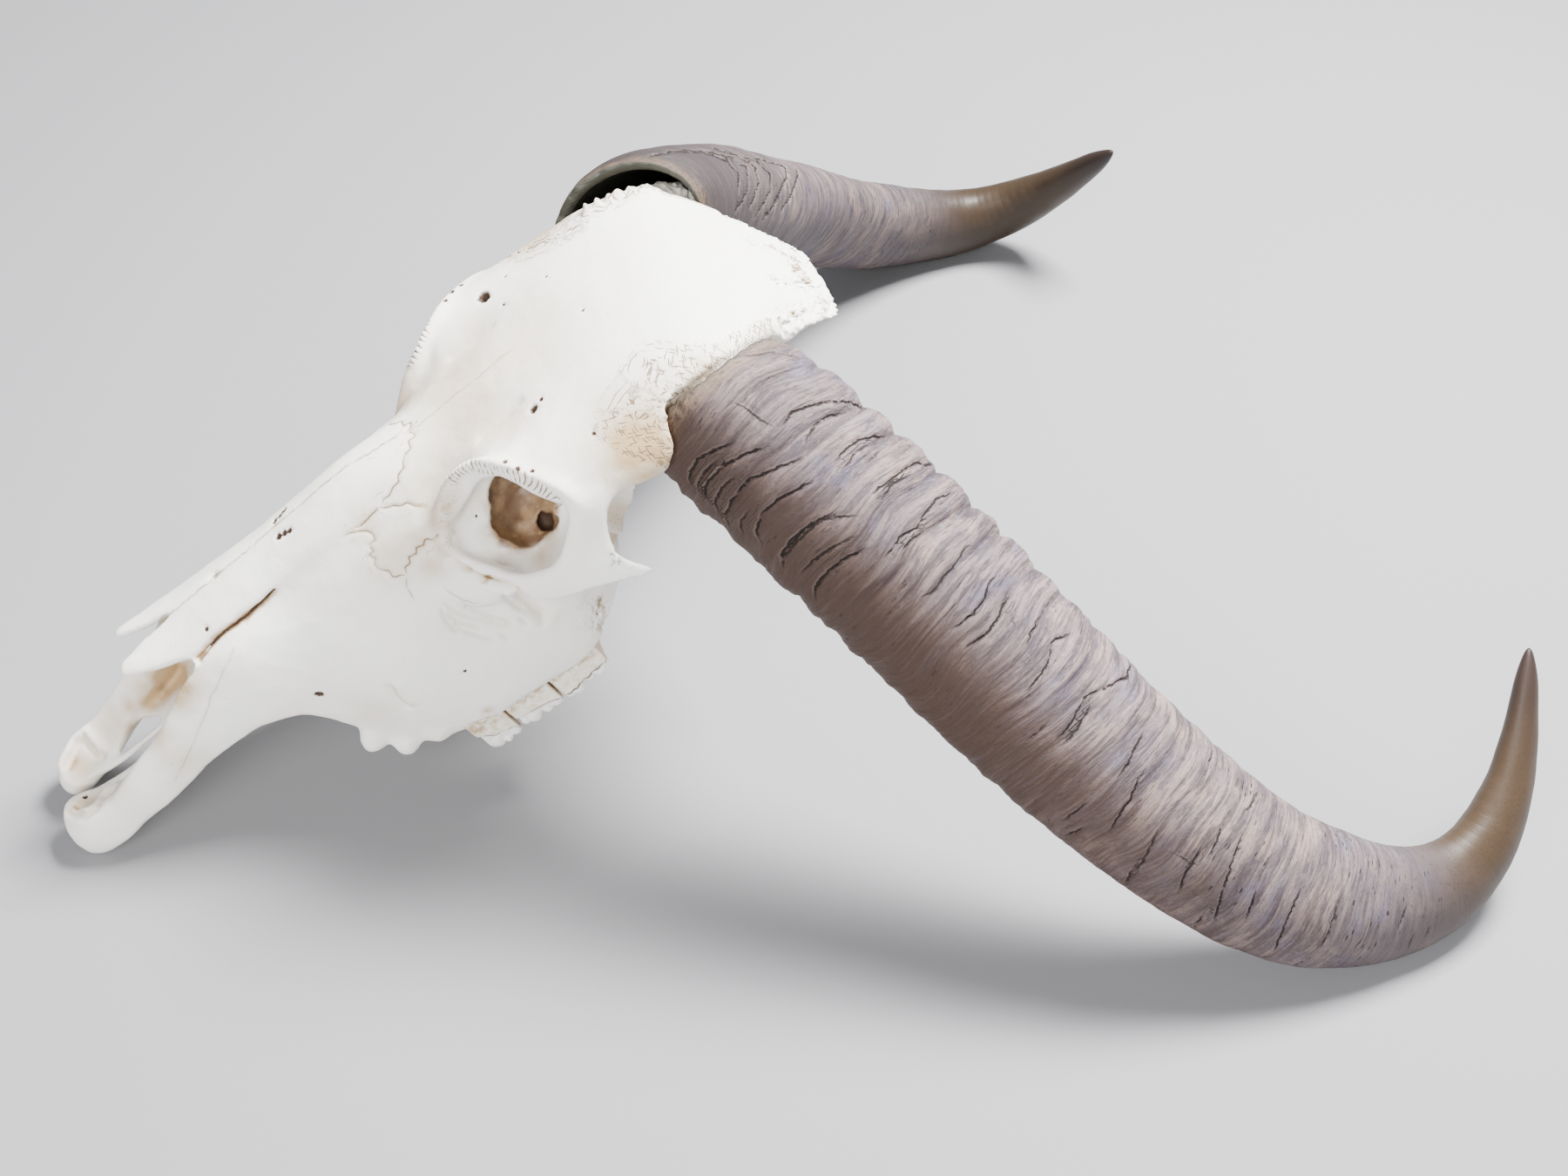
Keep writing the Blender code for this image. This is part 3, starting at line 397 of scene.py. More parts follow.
def sunk(points, normals, lines, depth, width, reach):
    """How deep a round groove along the lines cuts each point."""
    side, force, _ = beside(points, normals, lines, reach)
    return depth * force * bell(side, width)


def keep(piece, name, values):
    """Stores a number or three numbers per point, for the finish to read."""
    values = np.asarray(values, np.float32)
    kind, key = ("FLOAT", "value") if values.ndim == 1 else ("FLOAT_VECTOR", "vector")
    layer = piece.data.attributes.new(name, kind, "POINT")
    layer.data.foreach_set(key, values.ravel())


def occlusion_shade(points, normals, surface, reach=0.055, every=9, rays=56, lift=0.0008):
    """How much of the sky over each point the bone itself hides, from 0 to 1."""
    turns = np.arange(rays) * math.pi * (3.0 - math.sqrt(5.0))
    heights = 1.0 - 2.0 * (np.arange(rays) + 0.5) / rays
    flat = np.sqrt(1.0 - heights**2)
    ways = np.stack([flat * np.cos(turns), flat * np.sin(turns), heights], 1)
    chosen = np.arange(0, len(points), every)
    tree = KDTree(len(chosen))
    shades = []
    for index, spot in enumerate(chosen):
        start = Vector(points[spot] + normals[spot] * lift)
        facing = ways @ normals[spot]
        total, hidden = 0.0, 0.0
        for way, open_to in zip(ways[facing > 0.1], facing[facing > 0.1]):
            gap = surface.ray_cast(start, Vector(way), reach)[3]
            total += open_to
            if gap is not None:
                hidden += open_to * (1.0 - 0.5 * gap / reach)
        shades.append(hidden / total)
        tree.insert(start, index)
    tree.balance()
    found = np.empty(len(points))
    for index, point in enumerate(points.tolist()):
        close = tree.find_n(point, 3)
        weights = [1.0 / (gap + 0.0005) for _, _, gap in close]
        mixed = sum(weight * shades[spot] for weight, (_, spot, _) in zip(weights, close))
        found[index] = mixed / sum(weights)
    return found


skull = copy_of("skull", "skull_bone")
uncut = surface_of(skull)
hollows = [hollowed(skull, uncut, *hollow) for hollow in HOLLOWS]
finished(skull, "SUBSURF", levels=2, render_levels=2)
finished(skull, "REMESH", mode="VOXEL", voxel_size=SKULL_VOXEL)
finished(skull, "SMOOTH", factor=0.5, iterations=3)
whole = surface_of(skull)


def both(pixels, sway=1.0, force=1.0):
    """A line on the left side and its mirror image, each with its strength."""
    line = traced(pixels, whole, sway)
    return [(line, force), (opposite(line, whole), force)]


seams = []
for pixels, force in SEAMS:
    seams += both(pixels, 1.2, force)[: 1 if pixels in MIDDLE_SEAMS else 2]
scars = [line for pixels in MUSCLE_SCARS for line in both(pixels)]
slits, recesses, folds = both(NOSE_SLIT, 0.8), both(SOCKET_RECESS), both(ALVEOLAR_FOLD)
folds += both(SNOUT_FOLD)
dishes = both(RIGHT_DISH)
grooves, combs, horn_rims = both(BROW_GROOVE), both(SOCKET_COMB, 0.5), both(HORN_RIM, 0.0)
edges = []
for inward, pixels in BROKEN_EDGES:
    edges.append((both(pixels, 0.0), placed((inward,), whole)))
crusts = placed(CORE_CRUST, whole, pairs=False)
holes = placed(HOLES, whole) + placed(SINGLE_HOLES, whole, pairs=False)
stain_and_shade_marks, porous = placed(STAINS_AND_SHADE, whole), placed(POROUS, whole)


def marked(points, marks):
    """How much each point has of the strongest mark there, each one fading outwards."""
    found = np.zeros(len(points))
    for place, size, *force in marks:
        gap = length(points - place)
        found = np.maximum(found, bell(gap, size) * (force[0] if force else 1.0))
    return found


def hole_gaps(points):
    """Each hole's depth, and how many of its uneven half widths away each point is."""
    uneven = 1.0 + 0.45 * ripple(points / 0.004, 33.0)
    for place, size, depth in holes:
        yield depth, length(points - place) * uneven / size


def comb_phase(points, at):
    """Counts the teeth of the comb along the upper rim of the eye socket."""
    return at / COMB_PITCH + 0.7 * ripple(points / 0.01, 5.0)


# The relief, outwards in metres: an uneven skin, the cut lines, the folds, the comb and the holes
points, normals = read(skull), read(skull, "normal")
push = 0.00045 * ripple(points / 0.03, 3.0) + 0.00022 * ripple(points / 0.009, 7.0)
push += 0.0001 * ripple(points / 0.0035, 11.0)
push -= sunk(points, normals, seams, *SEAM_CUT)
push -= sunk(points, normals, scars, *SCAR_CUT)
side, force, at = beside(points, normals, slits)
push -= SLIT_DEPTH * np.minimum(2.0 * force, 1.0) * bell(side, SLIT_WIDTH - SLIT_NARROWING * at)
push -= sunk(points, normals, recesses, *RECESS_CUT)
side, force, _ = beside(points, normals, folds, reach=FOLD_REACH)
ridge = FOLD_RIDGE * force * bell(side - 0.003, 0.0035)
push += ridge - FOLD_TROUGH * force * bell(side + 0.002, 0.003)
push -= sunk(points, normals, dishes, *DISH_CUT)
push -= sunk(points, normals, grooves, *BROW_CUT)
side, force, at = beside(points, normals, combs, reach=COMB_REACH)
gaps = np.clip(np.cos(2.0 * math.pi * comb_phase(points, at)), -0.3, 1.0)
push -= COMB_DEPTH * np.minimum(1.6 * force, 1.0) * gaps * bell(side, COMB_WIDTH)
for depth, gap in hole_gaps(points):
    push -= depth * unit(1.35 - gap) ** 0.7

# Spongy and crusted places, the broken edges, and the fibres beside the horns
spongy = marked(points, porous)
push += spongy * (0.0009 * ripple(points / 0.0028, 17.0) + 0.0006 * ripple(points / 0.0015, 19.0))
crusted = marked(points, crusts)
push += crusted * (CRUST_HEIGHT + CRUST_LUMPS * ripple(points / 0.003, 25.0))
bites = np.abs(ripple(points / 0.0042, 23.0)) ** 0.7
worn_back = np.zeros((len(points), 3))
for sides, centres in edges:
    for (edge, _), (centre,) in zip(sides, centres):
        force = beside(points, normals, [(edge, 1.0)], reach=BREAK_REACH)[1]
        push -= BREAK_DEPTH * force * bites
        worn_back += heading_of(centre - points) * (BREAK_BITE * force * bites)[:, None]
side, force, at = beside(points, normals, horn_rims, reach=0.036, taper=0.01)
fibres = np.abs(ripple(np.stack([at / 0.003, side / 0.008, side * 0.0], 1), 9.0))
push -= FIBRE_DEPTH * force * fibres**1.5 * np.clip(at / 0.06, 0.2, 1.0)
kept_in(skull, points + normals * push[:, None] + worn_back, "skull")
before = KDTree(len(points))
for index, point in enumerate(read(skull).tolist()):
    before.insert(point, index)
before.balance()
moves = read(skull) - points
finished(skull, "DECIMATE", ratio=min(1.0, SKULL_FACES / (2 * len(skull.data.polygons))))

# The marks are read where each point of the finished bone was before the relief moved it
carved, normals = read(skull), read(skull, "normal")
points = carved - moves[[before.find(point)[1] for point in carved.tolist()]]
side, force, at = beside(points, normals, seams)
keep(skull, "seam", np.stack([side * 1000.0, force, at * 1000.0], 1))
side, force, at = beside(points, normals, horn_rims, reach=0.044, taper=0.01)
away = np.abs(side)
band = unit(1.0 - away / (0.008 + 0.034 * unit((at - 0.04) / 0.025)))
keep(skull, "crust", np.stack([side * 1000.0, band * np.minimum(4.0 * force, 1.0), at * 1000.0], 1))
side, force, at = beside(points, normals, combs, reach=COMB_REACH)
keep(skull, "socket", np.stack([side * 1000.0, force, comb_phase(points, at)], 1))
# Painted shade deep in the eye sockets' hollows
socket_shade_amount = np.zeros(len(points))
for centre, size in hollows:
    for x in (centre[0], 2.0 * MIDDLE - centre[0]):
        gap = length(points - (x, centre[1], centre[2]))
        socket_shade_amount = np.maximum(socket_shade_amount, unit((1.22 - gap / size) / 0.12))
# Brown stains and painted shade from the marks, then painted shade with some brown along the lines
# below
stain_and_shade_amount = marked(points, stain_and_shade_marks)
# Painted shade, with some brown, along the nose slit, the recess under the eye socket, the folds,
# the dish and the muscle scars
line_shade_and_dirt = (
    (slits, 0.0016, 0.8), (recesses, 0.0035, 0.35), (folds, 0.0025, 0.5), (dishes, 0.0022, 1.0),
    (scars, 0.0012, 0.35),
)
for lines, width, full in line_shade_and_dirt:
    side, force, _ = beside(points, normals, lines, reach=0.009)
    stain_and_shade_amount = np.maximum(stain_and_shade_amount, full * np.minimum(1.5 * force, 1.0) * bell(side, width))
# Painted shade, near black, in the nose slit and the holes
side, force, at = beside(points, normals, slits)
hole_and_slit_shading = np.minimum(2.0 * force, 1.0) * bell(side, 0.001 - 0.006 * at)
for _, gap in hole_gaps(points):
    hole_and_slit_shading = np.maximum(hole_and_slit_shading, unit(2.0 - gap))
# Stored for the finish: painted shade of holes and slit, stains with painted shade, painted shade
# in the eye sockets, and spongy places
keep(skull, "hole_and_slit_shade", hole_and_slit_shading)
keep(skull, "stain_and_shade", stain_and_shade_amount)
keep(skull, "socket_shade", socket_shade_amount)
keep(skull, "sponge", np.maximum(marked(points, porous), marked(points, crusts)))
# How much sky each point's own bone hides, for painted shade in the hollows
keep(skull, "occlusion_shade", occlusion_shade(carved, normals, surface_of(skull)))
skull.data.shade_smooth()


class Field:
    """The output of a shader node. Sums on it add Math nodes, and node() adds any other kind."""

    def __init__(self, tree, socket=None):
        self.tree, self.socket = tree, socket

    def node(self, kind, settings, values, output=0):
        made = self.tree.nodes.new("ShaderNode" + kind)
        for name, setting in settings.items():
            setattr(made, name, setting)
        for name, value in values.items():
            if isinstance(value, Field):
                self.tree.links.new(value.socket, made.inputs[name])
            else:
                made.inputs[name].default_value = value
        return Field(self.tree, made.outputs[output])

    def maths(self, operation, *values):
        return self.node("Math", {"operation": operation}, dict(enumerate(values)))

    def __add__(self, other):
        return self.maths("ADD", self, other)

    def __radd__(self, other):
        return self.maths("ADD", other, self)

    def __sub__(self, other):
        return self.maths("SUBTRACT", self, other)

    def __rsub__(self, other):
        return self.maths("SUBTRACT", other, self)

    def __mul__(self, other):
        return self.maths("MULTIPLY", self, other)

    def __rmul__(self, other):
        return self.maths("MULTIPLY", other, self)

    def __truediv__(self, other):
        return self.maths("DIVIDE", self, other)

    def __rtruediv__(self, other):
        return self.maths("DIVIDE", other, self)

    def __abs__(self):
        return self.maths("ABSOLUTE", self)

    def most(self, other):
        return self.maths("MAXIMUM", self, other)

    def least(self, other):
        return self.maths("MINIMUM", self, other)

    def between(self, low, high):
        """0 at low, 1 at high, and smooth from one to the other."""
        values = {"Value": self, "From Min": low, "From Max": high}
        return self.node("MapRange", {"interpolation_type": "SMOOTHSTEP"}, values)

    def mixed(self, first, second):
        """The first colour where this is 0, the second where it is 1."""
        return self.node("Mix", {"data_type": "RGBA"}, {0: self, 6: first, 7: second}, output=2)

    def part(self, axis):
        return self.node("SeparateXYZ", {}, {0: self}, output=axis)

    def stretched(self, sizes):
        """This place measured in waves, given one wave length for all axes or one for each."""
        sizes = sizes if isinstance(sizes, tuple) else (sizes,) * 3
        waves = tuple(1.0 / size for size in sizes)
        return self.node("VectorMath", {"operation": "MULTIPLY"}, {0: self, 1: waves})

    def noise(self, sizes, detail=3.0, roughness=0.55, distortion=0.0):
        values = {"Vector": self.stretched(sizes), "Scale": 1.0, "Detail": detail}
        values.update({"Roughness": roughness, "Distortion": distortion})
        return self.node("TexNoise", {}, values)

    def cells(self, sizes=1.0, dimensions="3D"):
        """How far each place is from the nearest of many scattered spots."""
        values = {"Vector": self.stretched(sizes), "Scale": 1.0}
        return self.node("TexVoronoi", {"voronoi_dimensions": dimensions}, values)


def finish_of(name):
    """A new material, its shader, and the start of its sums."""
    made = bpy.data.materials.new(name)
    made.use_nodes = True
    return made, made.node_tree.nodes["Principled BSDF"], Field(made.node_tree)


def stored(start, name, output=1):
    return start.node("Attribute", {"attribute_name": name}, {}, output)


def wired(start, shader, tone, roughness, height):
    """Puts the colour, the roughness and the relief, in millimetres, on the shader."""
    relief = start.node("Bump", {}, {"Height": height, "Distance": 0.001, "Strength": 1.0})
    for name, field in (("Base Color", tone), ("Roughness", roughness), ("Normal", relief)):
        start.tree.links.new(field.socket, shader.inputs[name])


def colour(red, green, blue):
    return (red, green, blue, 1.0)


def bleached_bone():
    """White bone, warmer where stained, warmer and darker with painted shade where its own hollows
    hide the sky, with dark seams and pores, and holes painted near black as shade.
    """
    made, shader, start = finish_of("bleached_bone")
    place = start.node("TexCoord", {}, {}, output="Object")
    seam, crust, socket = (stored(start, name) for name in ("seam", "crust", "socket"))
    # Painted shade in the holes and slit, stains with painted shade, the hidden sky for painted
    # shade, the eye sockets' painted shade and the spongy places
    hole_and_slit_shade, stain_and_shade, hollow_shade_and_dirt, socket_shade, sponge = (
        stored(start, name, output=2) for name in ("hole_and_slit_shade", "stain_and_shade", "occlusion_shade", "socket_shade", "sponge")
    )
    blotches = place.noise(0.045, 4.0)
    mottle = place.noise(0.008, 5.0, 0.6)
    grain = place.noise(0.0011, 3.0, 0.6)
    pores = 1.0 - place.cells(0.0016).between(0.05, 0.3)
    pore_patches = place.noise(0.02).between(0.55, 0.7)
    pores = pores * (pore_patches * 0.4 + sponge * 1.3 + socket.part(1) * 0.7).least(1.0)

    wander = (place.noise(0.0014, 2.0) - 0.5) * 0.63
    seam_line = 1.0 - abs(seam.part(0) + wander).between(0.1, 0.5)
    seam_force = seam.part(1) * 1.2 * place.noise(0.01, 2.0).between(0.25, 0.55)
    seam_line = seam_line * seam_force.least(1.0)
    seam_halo = (1.0 - abs(seam.part(0)).between(0.2, 2.6)) * seam.part(1)

    sway = (place.noise(0.01, 2.0) - 0.5) * 3.0
    fibre_line = 0.0
    for lean in (-0.35, 0.35):
        across = crust.part(2) / 1.6 + crust.part(0) * lean + sway + 40.0 * lean
        spot = start.node("CombineXYZ", {}, {0: across, 1: crust.part(0) / 11.0, 2: 0.0})
        strand = spot.cells(dimensions="2D")
        fibre_line = (1.0 - strand.between(0.1, 0.22)).most(fibre_line)
    fibre_line = fibre_line * crust.part(1).between(0.02, 0.3)
    fibre_line = fibre_line * place.noise(0.009, 2.0).between(0.34, 0.5)
    comb = abs(socket.part(2) - socket.part(2).maths("ROUND", socket.part(2))).between(0.15, 0.03)
    comb = comb * socket.part(1).between(0.45, 0.7)
    comb = comb * place.noise(0.009, 2.0).between(0.3, 0.42)

    # Warm brown from stains, seams, crust and sponge, with painted shade where the bone hides its
    # own sky and where the shade marks lie
    warm = hollow_shade_and_dirt.between(0.22, 0.75) * 0.8 + stain_and_shade * 1.05 + seam_halo * 0.3
    warm = warm + crust.part(1) * 0.4 + sponge * 0.15
    warm = (warm * (0.6 + mottle * 0.8)).least(1.0)
    tone = blotches.between(0.35, 0.7).mixed(colour(0.92, 0.9, 0.86), colour(0.89, 0.855, 0.785))
    tone = warm.mixed(tone, colour(0.5, 0.35, 0.19))
    # Painted shade: the deepest hollows darker brown
    tone = (hollow_shade_and_dirt.between(0.5, 0.85) * 0.85).mixed(tone, colour(0.2, 0.125, 0.065))
    # Painted shade deep in the eye sockets: dark brown, over the brown of the broken bone inside
    murk = place.noise(0.012).between(0.4, 0.62)
    inner = murk.mixed(colour(0.135, 0.07, 0.03), colour(0.3, 0.18, 0.085))
    tone = (socket_shade * 0.95).mixed(tone, inner)
    tone = (pores * 0.6).mixed(tone, colour(0.3, 0.18, 0.09))
    marks = (seam_line * 0.8).most(fibre_line * 0.85).most(comb * 0.9)
    tone = marks.mixed(tone, colour(0.19, 0.11, 0.055))
    # Painted shade: holes and the nose slit near black
    tone = hole_and_slit_shade.between(0.25, 0.75).mixed(tone, colour(0.05, 0.026, 0.014))
    height = grain * 0.1 + mottle * 0.22 - pores * 0.35
    height = height - seam_line * 0.5 - fibre_line * 0.6 - comb * 0.6
    wired(start, shader, tone, 0.5 + mottle * 0.14 + warm * 0.12, height)
    shader.inputs["Specular IOR Level"].default_value = 0.3
    return made


skull.data.materials.append(bleached_bone())
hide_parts("skull")
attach(skull, "root")


# The horn sheaths.
# Two hollow horns of keratin that grew over the bony cores, with rings of growth near the skull
# and smooth tips. The left one still sits on its core and the right one has slipped a little.
HORN_LINE = (
    (0.074, -0.0174, 0.2708),
    (0.145, 0.0436, 0.2168),
    (0.204, 0.0946, 0.1638),
    (0.263, 0.1486, 0.1108),
    (0.31, 0.2216, 0.0538),
    (0.322, 0.3056, 0.0288),
    (0.296, 0.3606, 0.0598),
    (0.249, 0.3876, 0.1208),
)
HORN_LENGTH = 0.646
HORN_SIZES = (  # place along the line, half width, half thickness
    (0.0, 0.047, 0.038),
    (0.15, 0.0486, 0.0377),
    (0.35, 0.0471, 0.0322),
    (0.6, 0.0396, 0.0258),
    (0.82, 0.0209, 0.0156),
    (1.0, 0.005, 0.0045),
)
HORN_TWIST = ((0.0, 0.335), (0.5, 0.249), (1.0, 0.764))
MOUTH_LEAN, MOUTH_SLANT, LEAN_ENDS = 0.0095, 0.006, 0.25
MOUTH_ROUNDING, MOUTH_ROUNDED = 0.006, 0.045
SHEATH_WALL, HOLLOW_WALL, HOLLOW_END = 0.0065, 0.027, 0.48
SHEATH_ROWS, INNER_ROWS, SHEATH_AROUND = 640, 50, 128
SLIP_TURN = (math.radians(-1.5), math.radians(0.1), math.radians(1.7))
SLIP_PIVOT = Vector((-0.111, 0.0226, 0.2378))
SLIP = Vector((-0.0105, -0.0075, 0.0067))
RING_SPACING, RINGS_END = 0.0224, 0.66
TIP_ROUNDED = 0.96  # where the tip starts to round off
CRACK_DEPTH, CRACK_WIDTH = 0.0018, 0.0009
LIP_RISE, LIP_FALL, LIP_WIDTH = 0.0004, 0.0002, 0.003  # keratin is lifted on one side of a crack

# Cracks across the sheaths, as the eye sees them: strength, then x and y of each pixel
LEFT_CRACKS = (
    (0.4, 838, 409, 863, 408, 890, 404, 922, 411),
    (0.8, 897, 493, 908, 475, 931, 465, 949, 461, 976, 461, 995, 471),
    (0.5, 840, 462, 858, 470, 872, 482, 890, 492),
    (0.7, 922, 511, 929, 497, 940, 484, 954, 477, 972, 475),
    (0.9, 958, 534, 963, 525, 974, 513, 985, 506, 1001, 502, 1017, 502),
    (0.6, 963, 546, 976, 529, 985, 518, 999, 511),
    (0.6, 992, 534, 1001, 525, 1013, 515),
    (0.9, 999, 571, 1008, 561, 1022, 552, 1040, 538, 1054, 531, 1072, 534),
    (0.7, 1008, 581, 1024, 556, 1035, 550, 1049, 543),
    (0.6, 899, 643, 908, 629, 926, 611, 945, 597, 967, 593, 988, 593),
    (1.0, 1013, 643, 1026, 629, 1035, 615, 1054, 606, 1063, 588, 1076, 572, 1095, 565),
    (0.6, 1031, 640, 1044, 622, 1058, 612, 1066, 596),
    (0.6, 1054, 688, 1072, 679, 1085, 661, 1099, 647, 1108, 629, 1117, 627),
    (0.8, 1090, 725, 1117, 706, 1131, 688, 1135, 670, 1145, 661),
    (1.0, 1104, 747, 1131, 729, 1145, 711, 1151, 695, 1160, 683),
    (0.5, 1160, 706, 1164, 716, 1165, 726),
    (0.7, 1179, 747, 1183, 729, 1195, 706),
    (1.0, 1176, 797, 1195, 776, 1206, 756, 1208, 736, 1231, 727),
    (0.7, 1176, 852, 1195, 838, 1204, 829),
    (0.8, 795, 561, 790, 547, 799, 529, 822, 515, 845, 508),
    (0.7, 803, 570, 800, 556, 809, 541, 826, 527),
    (0.9, 815, 579, 808, 565, 813, 552, 831, 534, 858, 520, 884, 512),
    (0.7, 826, 592, 820, 577, 829, 560, 846, 545),
    (0.9, 840, 611, 831, 593, 840, 575, 858, 552, 890, 538, 922, 525),
    (0.6, 852, 615, 850, 600, 862, 583),
    (0.9, 876, 629, 867, 611, 876, 588, 899, 570, 935, 552),
    (1.0, 899, 654, 897, 638, 908, 620, 931, 602, 958, 588),
    (0.6, 917, 661, 935, 643, 954, 629, 985, 615),
    (0.9, 935, 690, 935, 675, 945, 661, 967, 643, 995, 629),
    (0.9, 1212, 850, 1230, 832, 1239, 814, 1248, 798, 1271, 789, 1294, 777, 1299, 762),
    (0.7, 1216, 860, 1236, 838, 1248, 818, 1253, 805),
    (0.9, 1282, 895, 1298, 873, 1305, 855, 1315, 838),
    (0.8, 1273, 957, 1285, 936, 1298, 918, 1307, 895, 1316, 882),
    (0.6, 1216, 945, 1235, 932, 1253, 918),
    (0.8, 1221, 961, 1235, 955, 1248, 948),
    (0.6, 1300, 1009, 1316, 982, 1325, 964, 1330, 950),
    (0.8, 1353, 1027, 1361, 1003, 1374, 984, 1380, 970),
    (0.5, 1342, 978, 1356, 984, 1370, 996),
    (1.0, 1394, 1059, 1403, 1027, 1412, 1000, 1421, 973, 1428, 955),
    (0.7, 1385, 991, 1398, 964, 1407, 936),
    (0.6, 1425, 936, 1435, 927, 1446, 907),
    (0.7, 1380, 895, 1387, 882, 1394, 859),
    (0.8, 1430, 1059, 1439, 1032, 1444, 1018),
    (0.8, 1462, 1095, 1475, 1064, 1489, 1032, 1494, 1018),
    (0.6, 1516, 1091, 1530, 1059, 1539, 1027),
    (0.5, 1553, 1095, 1566, 1073),
    (0.9, 1603, 1073, 1612, 1050, 1616, 1036),
    (0.6, 1616, 1091, 1625, 1068),
    (0.8, 1635, 1077, 1644, 1061),
    (0.7, 1286, 1022, 1296, 1008, 1302, 992),
    (0.7, 1366, 1076, 1374, 1060, 1384, 1046),
)
RIGHT_CRACKS = (
    (0.8, 742, 180, 772, 173, 808, 175, 835, 184, 849, 200, 847, 223),
    (0.6, 756, 176, 790, 171, 824, 176, 846, 187),
    (0.9, 776, 170, 813, 173, 840, 180, 858, 193, 860, 214, 854, 230, 842, 246),
    (0.9, 813, 169, 845, 177, 867, 191, 872, 209, 867, 227, 858, 243),
    (0.7, 835, 173, 867, 184, 885, 200, 885, 218, 876, 236, 863, 254),
    (1.0, 863, 180, 885, 186, 901, 190, 904, 202, 895, 223, 885, 241, 872, 259),
    (1.0, 908, 189, 916, 195, 915, 207, 908, 227, 895, 245),
    (0.6, 895, 227, 885, 241, 881, 252),
)


def spline(knots, places):
    """Points of the natural cubic through evenly spaced knots, at places counted in knots."""
    knots = np.asarray(knots, float)
    count = len(knots)
    bends = np.eye(count)
    right = np.zeros_like(knots)
    for i in range(1, count - 1):
        bends[i, i - 1 : i + 2] = (1.0, 4.0, 1.0)
        right[i] = 6.0 * (knots[i - 1] - 2.0 * knots[i] + knots[i + 1])
    second = np.linalg.solve(bends, right)
    first = np.minimum(places.astype(int), count - 2)
    after = (places - first)[:, None]
    before = 1.0 - after
    points = before * knots[first] + after * knots[first + 1]
    points += ((before**3 - before) * second[first] + (after**3 - after) * second[first + 1]) / 6.0
    return points


def horn_axes():
    """Places from 0 to 1 along the horn, with the centre, wide axis and direction there."""
    fine = np.linspace(0.0, 1.0, 65)
    centres = spline(HORN_LINE, fine * (len(HORN_LINE) - 1.0))
    tangents = heading_of(np.gradient(centres, axis=0))
    across = np.array((0.0, 1.0, 0.0))
    wide = []
    for tangent in tangents:
        across = across - across.dot(tangent) * tangent
        across /= np.linalg.norm(across)
        wide.append(across)
    return fine, centres, np.array(wide), tangents


def horn_points(places, turns, grow):
    """Points of the horn's surface at places along it and turns about it, grown outward by grow."""
    fine, centres, wide_axes, tangents = horn_axes()
    centre, first, tangent = (
        np.stack([np.interp(places, fine, rows[:, k]) for k in range(3)], 1)
        for rows in (centres, wide_axes, tangents)
    )
    tangent = heading_of(tangent)
    first = heading_of(first - (first * tangent).sum(1, keepdims=True) * tangent)
    second = np.cross(tangent, first)
    sizes = np.array(HORN_SIZES)
    twist = np.interp(places, *np.array(HORN_TWIST).T)
    swell = grow - MOUTH_ROUNDING * np.maximum(0.0, 1.0 - places / MOUTH_ROUNDED) ** 2
    point = np.sqrt(1.0 - unit((places - TIP_ROUNDED) / (1.0 - TIP_ROUNDED)) ** 2)
    wide = np.maximum(np.interp(places, sizes[:, 0], sizes[:, 1]) + swell, 0.0008) * point
    thin = np.maximum(np.interp(places, sizes[:, 0], sizes[:, 2]) + swell, 0.0008) * point
    u, v = wide * np.cos(turns), thin * np.sin(turns)
    a = (u * np.cos(twist) - v * np.sin(twist))[:, None]
    b = (u * np.sin(twist) + v * np.cos(twist))[:, None]
    leaning = np.maximum(0.0, 1.0 - places / LEAN_ENDS)
    along = leaning * (MOUTH_SLANT * np.cos(turns) - MOUTH_LEAN * np.sin(turns))
    rim = np.stack([np.cos(turns), np.sin(turns), 0.0 * turns], 1)
    ragged = 0.0014 + 0.002 * ripple(rim * 3.0, 71.0) + 0.0012 * ripple(rim * 11.0, 73.0)
    along += ragged * unit(1.0 - places / 0.03)
    return centre + first * a + second * b + tangent * along[:, None]


def rings_of_growth(places, turns, right):
    """Where each point lies in the growth of the horn: two coordinates around it, and how far from
    the mouth the ring that passes there was laid down, all in metres."""
    around = 0.042 * np.stack([np.cos(turns), np.sin(turns)], 1)
    along = places * HORN_LENGTH
    soft = np.concatenate([around / 0.04, along[:, None] / 0.06], 1)
    bow = 0.03 * np.cos(turns - 0.2) * unit(1.0 - places / 0.45) if right else 0.0
    fade = unit(1.15 - places / 0.8)
    along = along - bow + 0.0085 * ripple(soft, 21.0) * fade
    return np.concatenate([around, along[:, None]], 1)


def weathering(places, turns, growth, right):
    """How far the keratin stands out or falls back from the even horn, in metres."""
    basal = unit(1.0 - (places / RINGS_END) ** 3)
    ends = unit(places / 0.012) * unit((1.0 - places) / 0.1)
    phase = growth[:, 2] / RING_SPACING + 0.3 * ripple(growth / (0.05, 0.05, 0.03), 31.0)
    roll = np.abs(np.sin(math.pi * phase)) ** 0.7 - 0.6
    ledges = ripple(growth / (0.045, 0.045, 0.0095), 37.0)
    lumps = ripple(growth / (0.03, 0.03, 0.018), 41.0)
    folds = ripple(growth / (0.022, 0.022, 0.0048), 51.0)
    creases = ripple(growth / (0.016, 0.016, 0.0019), 61.0)
    if right:
        relief = basal * (0.0005 * roll + 0.0006 * folds + 0.0004 * creases) + 0.0004 * lumps
    else:
        crest = 0.0016 + 0.0024 * unit(np.cos(turns - math.radians(25.0)))
        crest = crest * np.clip(1.25 - places / 0.5, 0.3, 1.0)
        layered = 0.001 * ledges + 0.0011 * folds + 0.0005 * creases
        relief = basal * (crest * roll + layered * np.clip(1.2 - places / 0.6, 0.3, 1.0))
        relief += 0.001 * lumps * unit(1.3 - places) - 0.0004
    return relief * ends


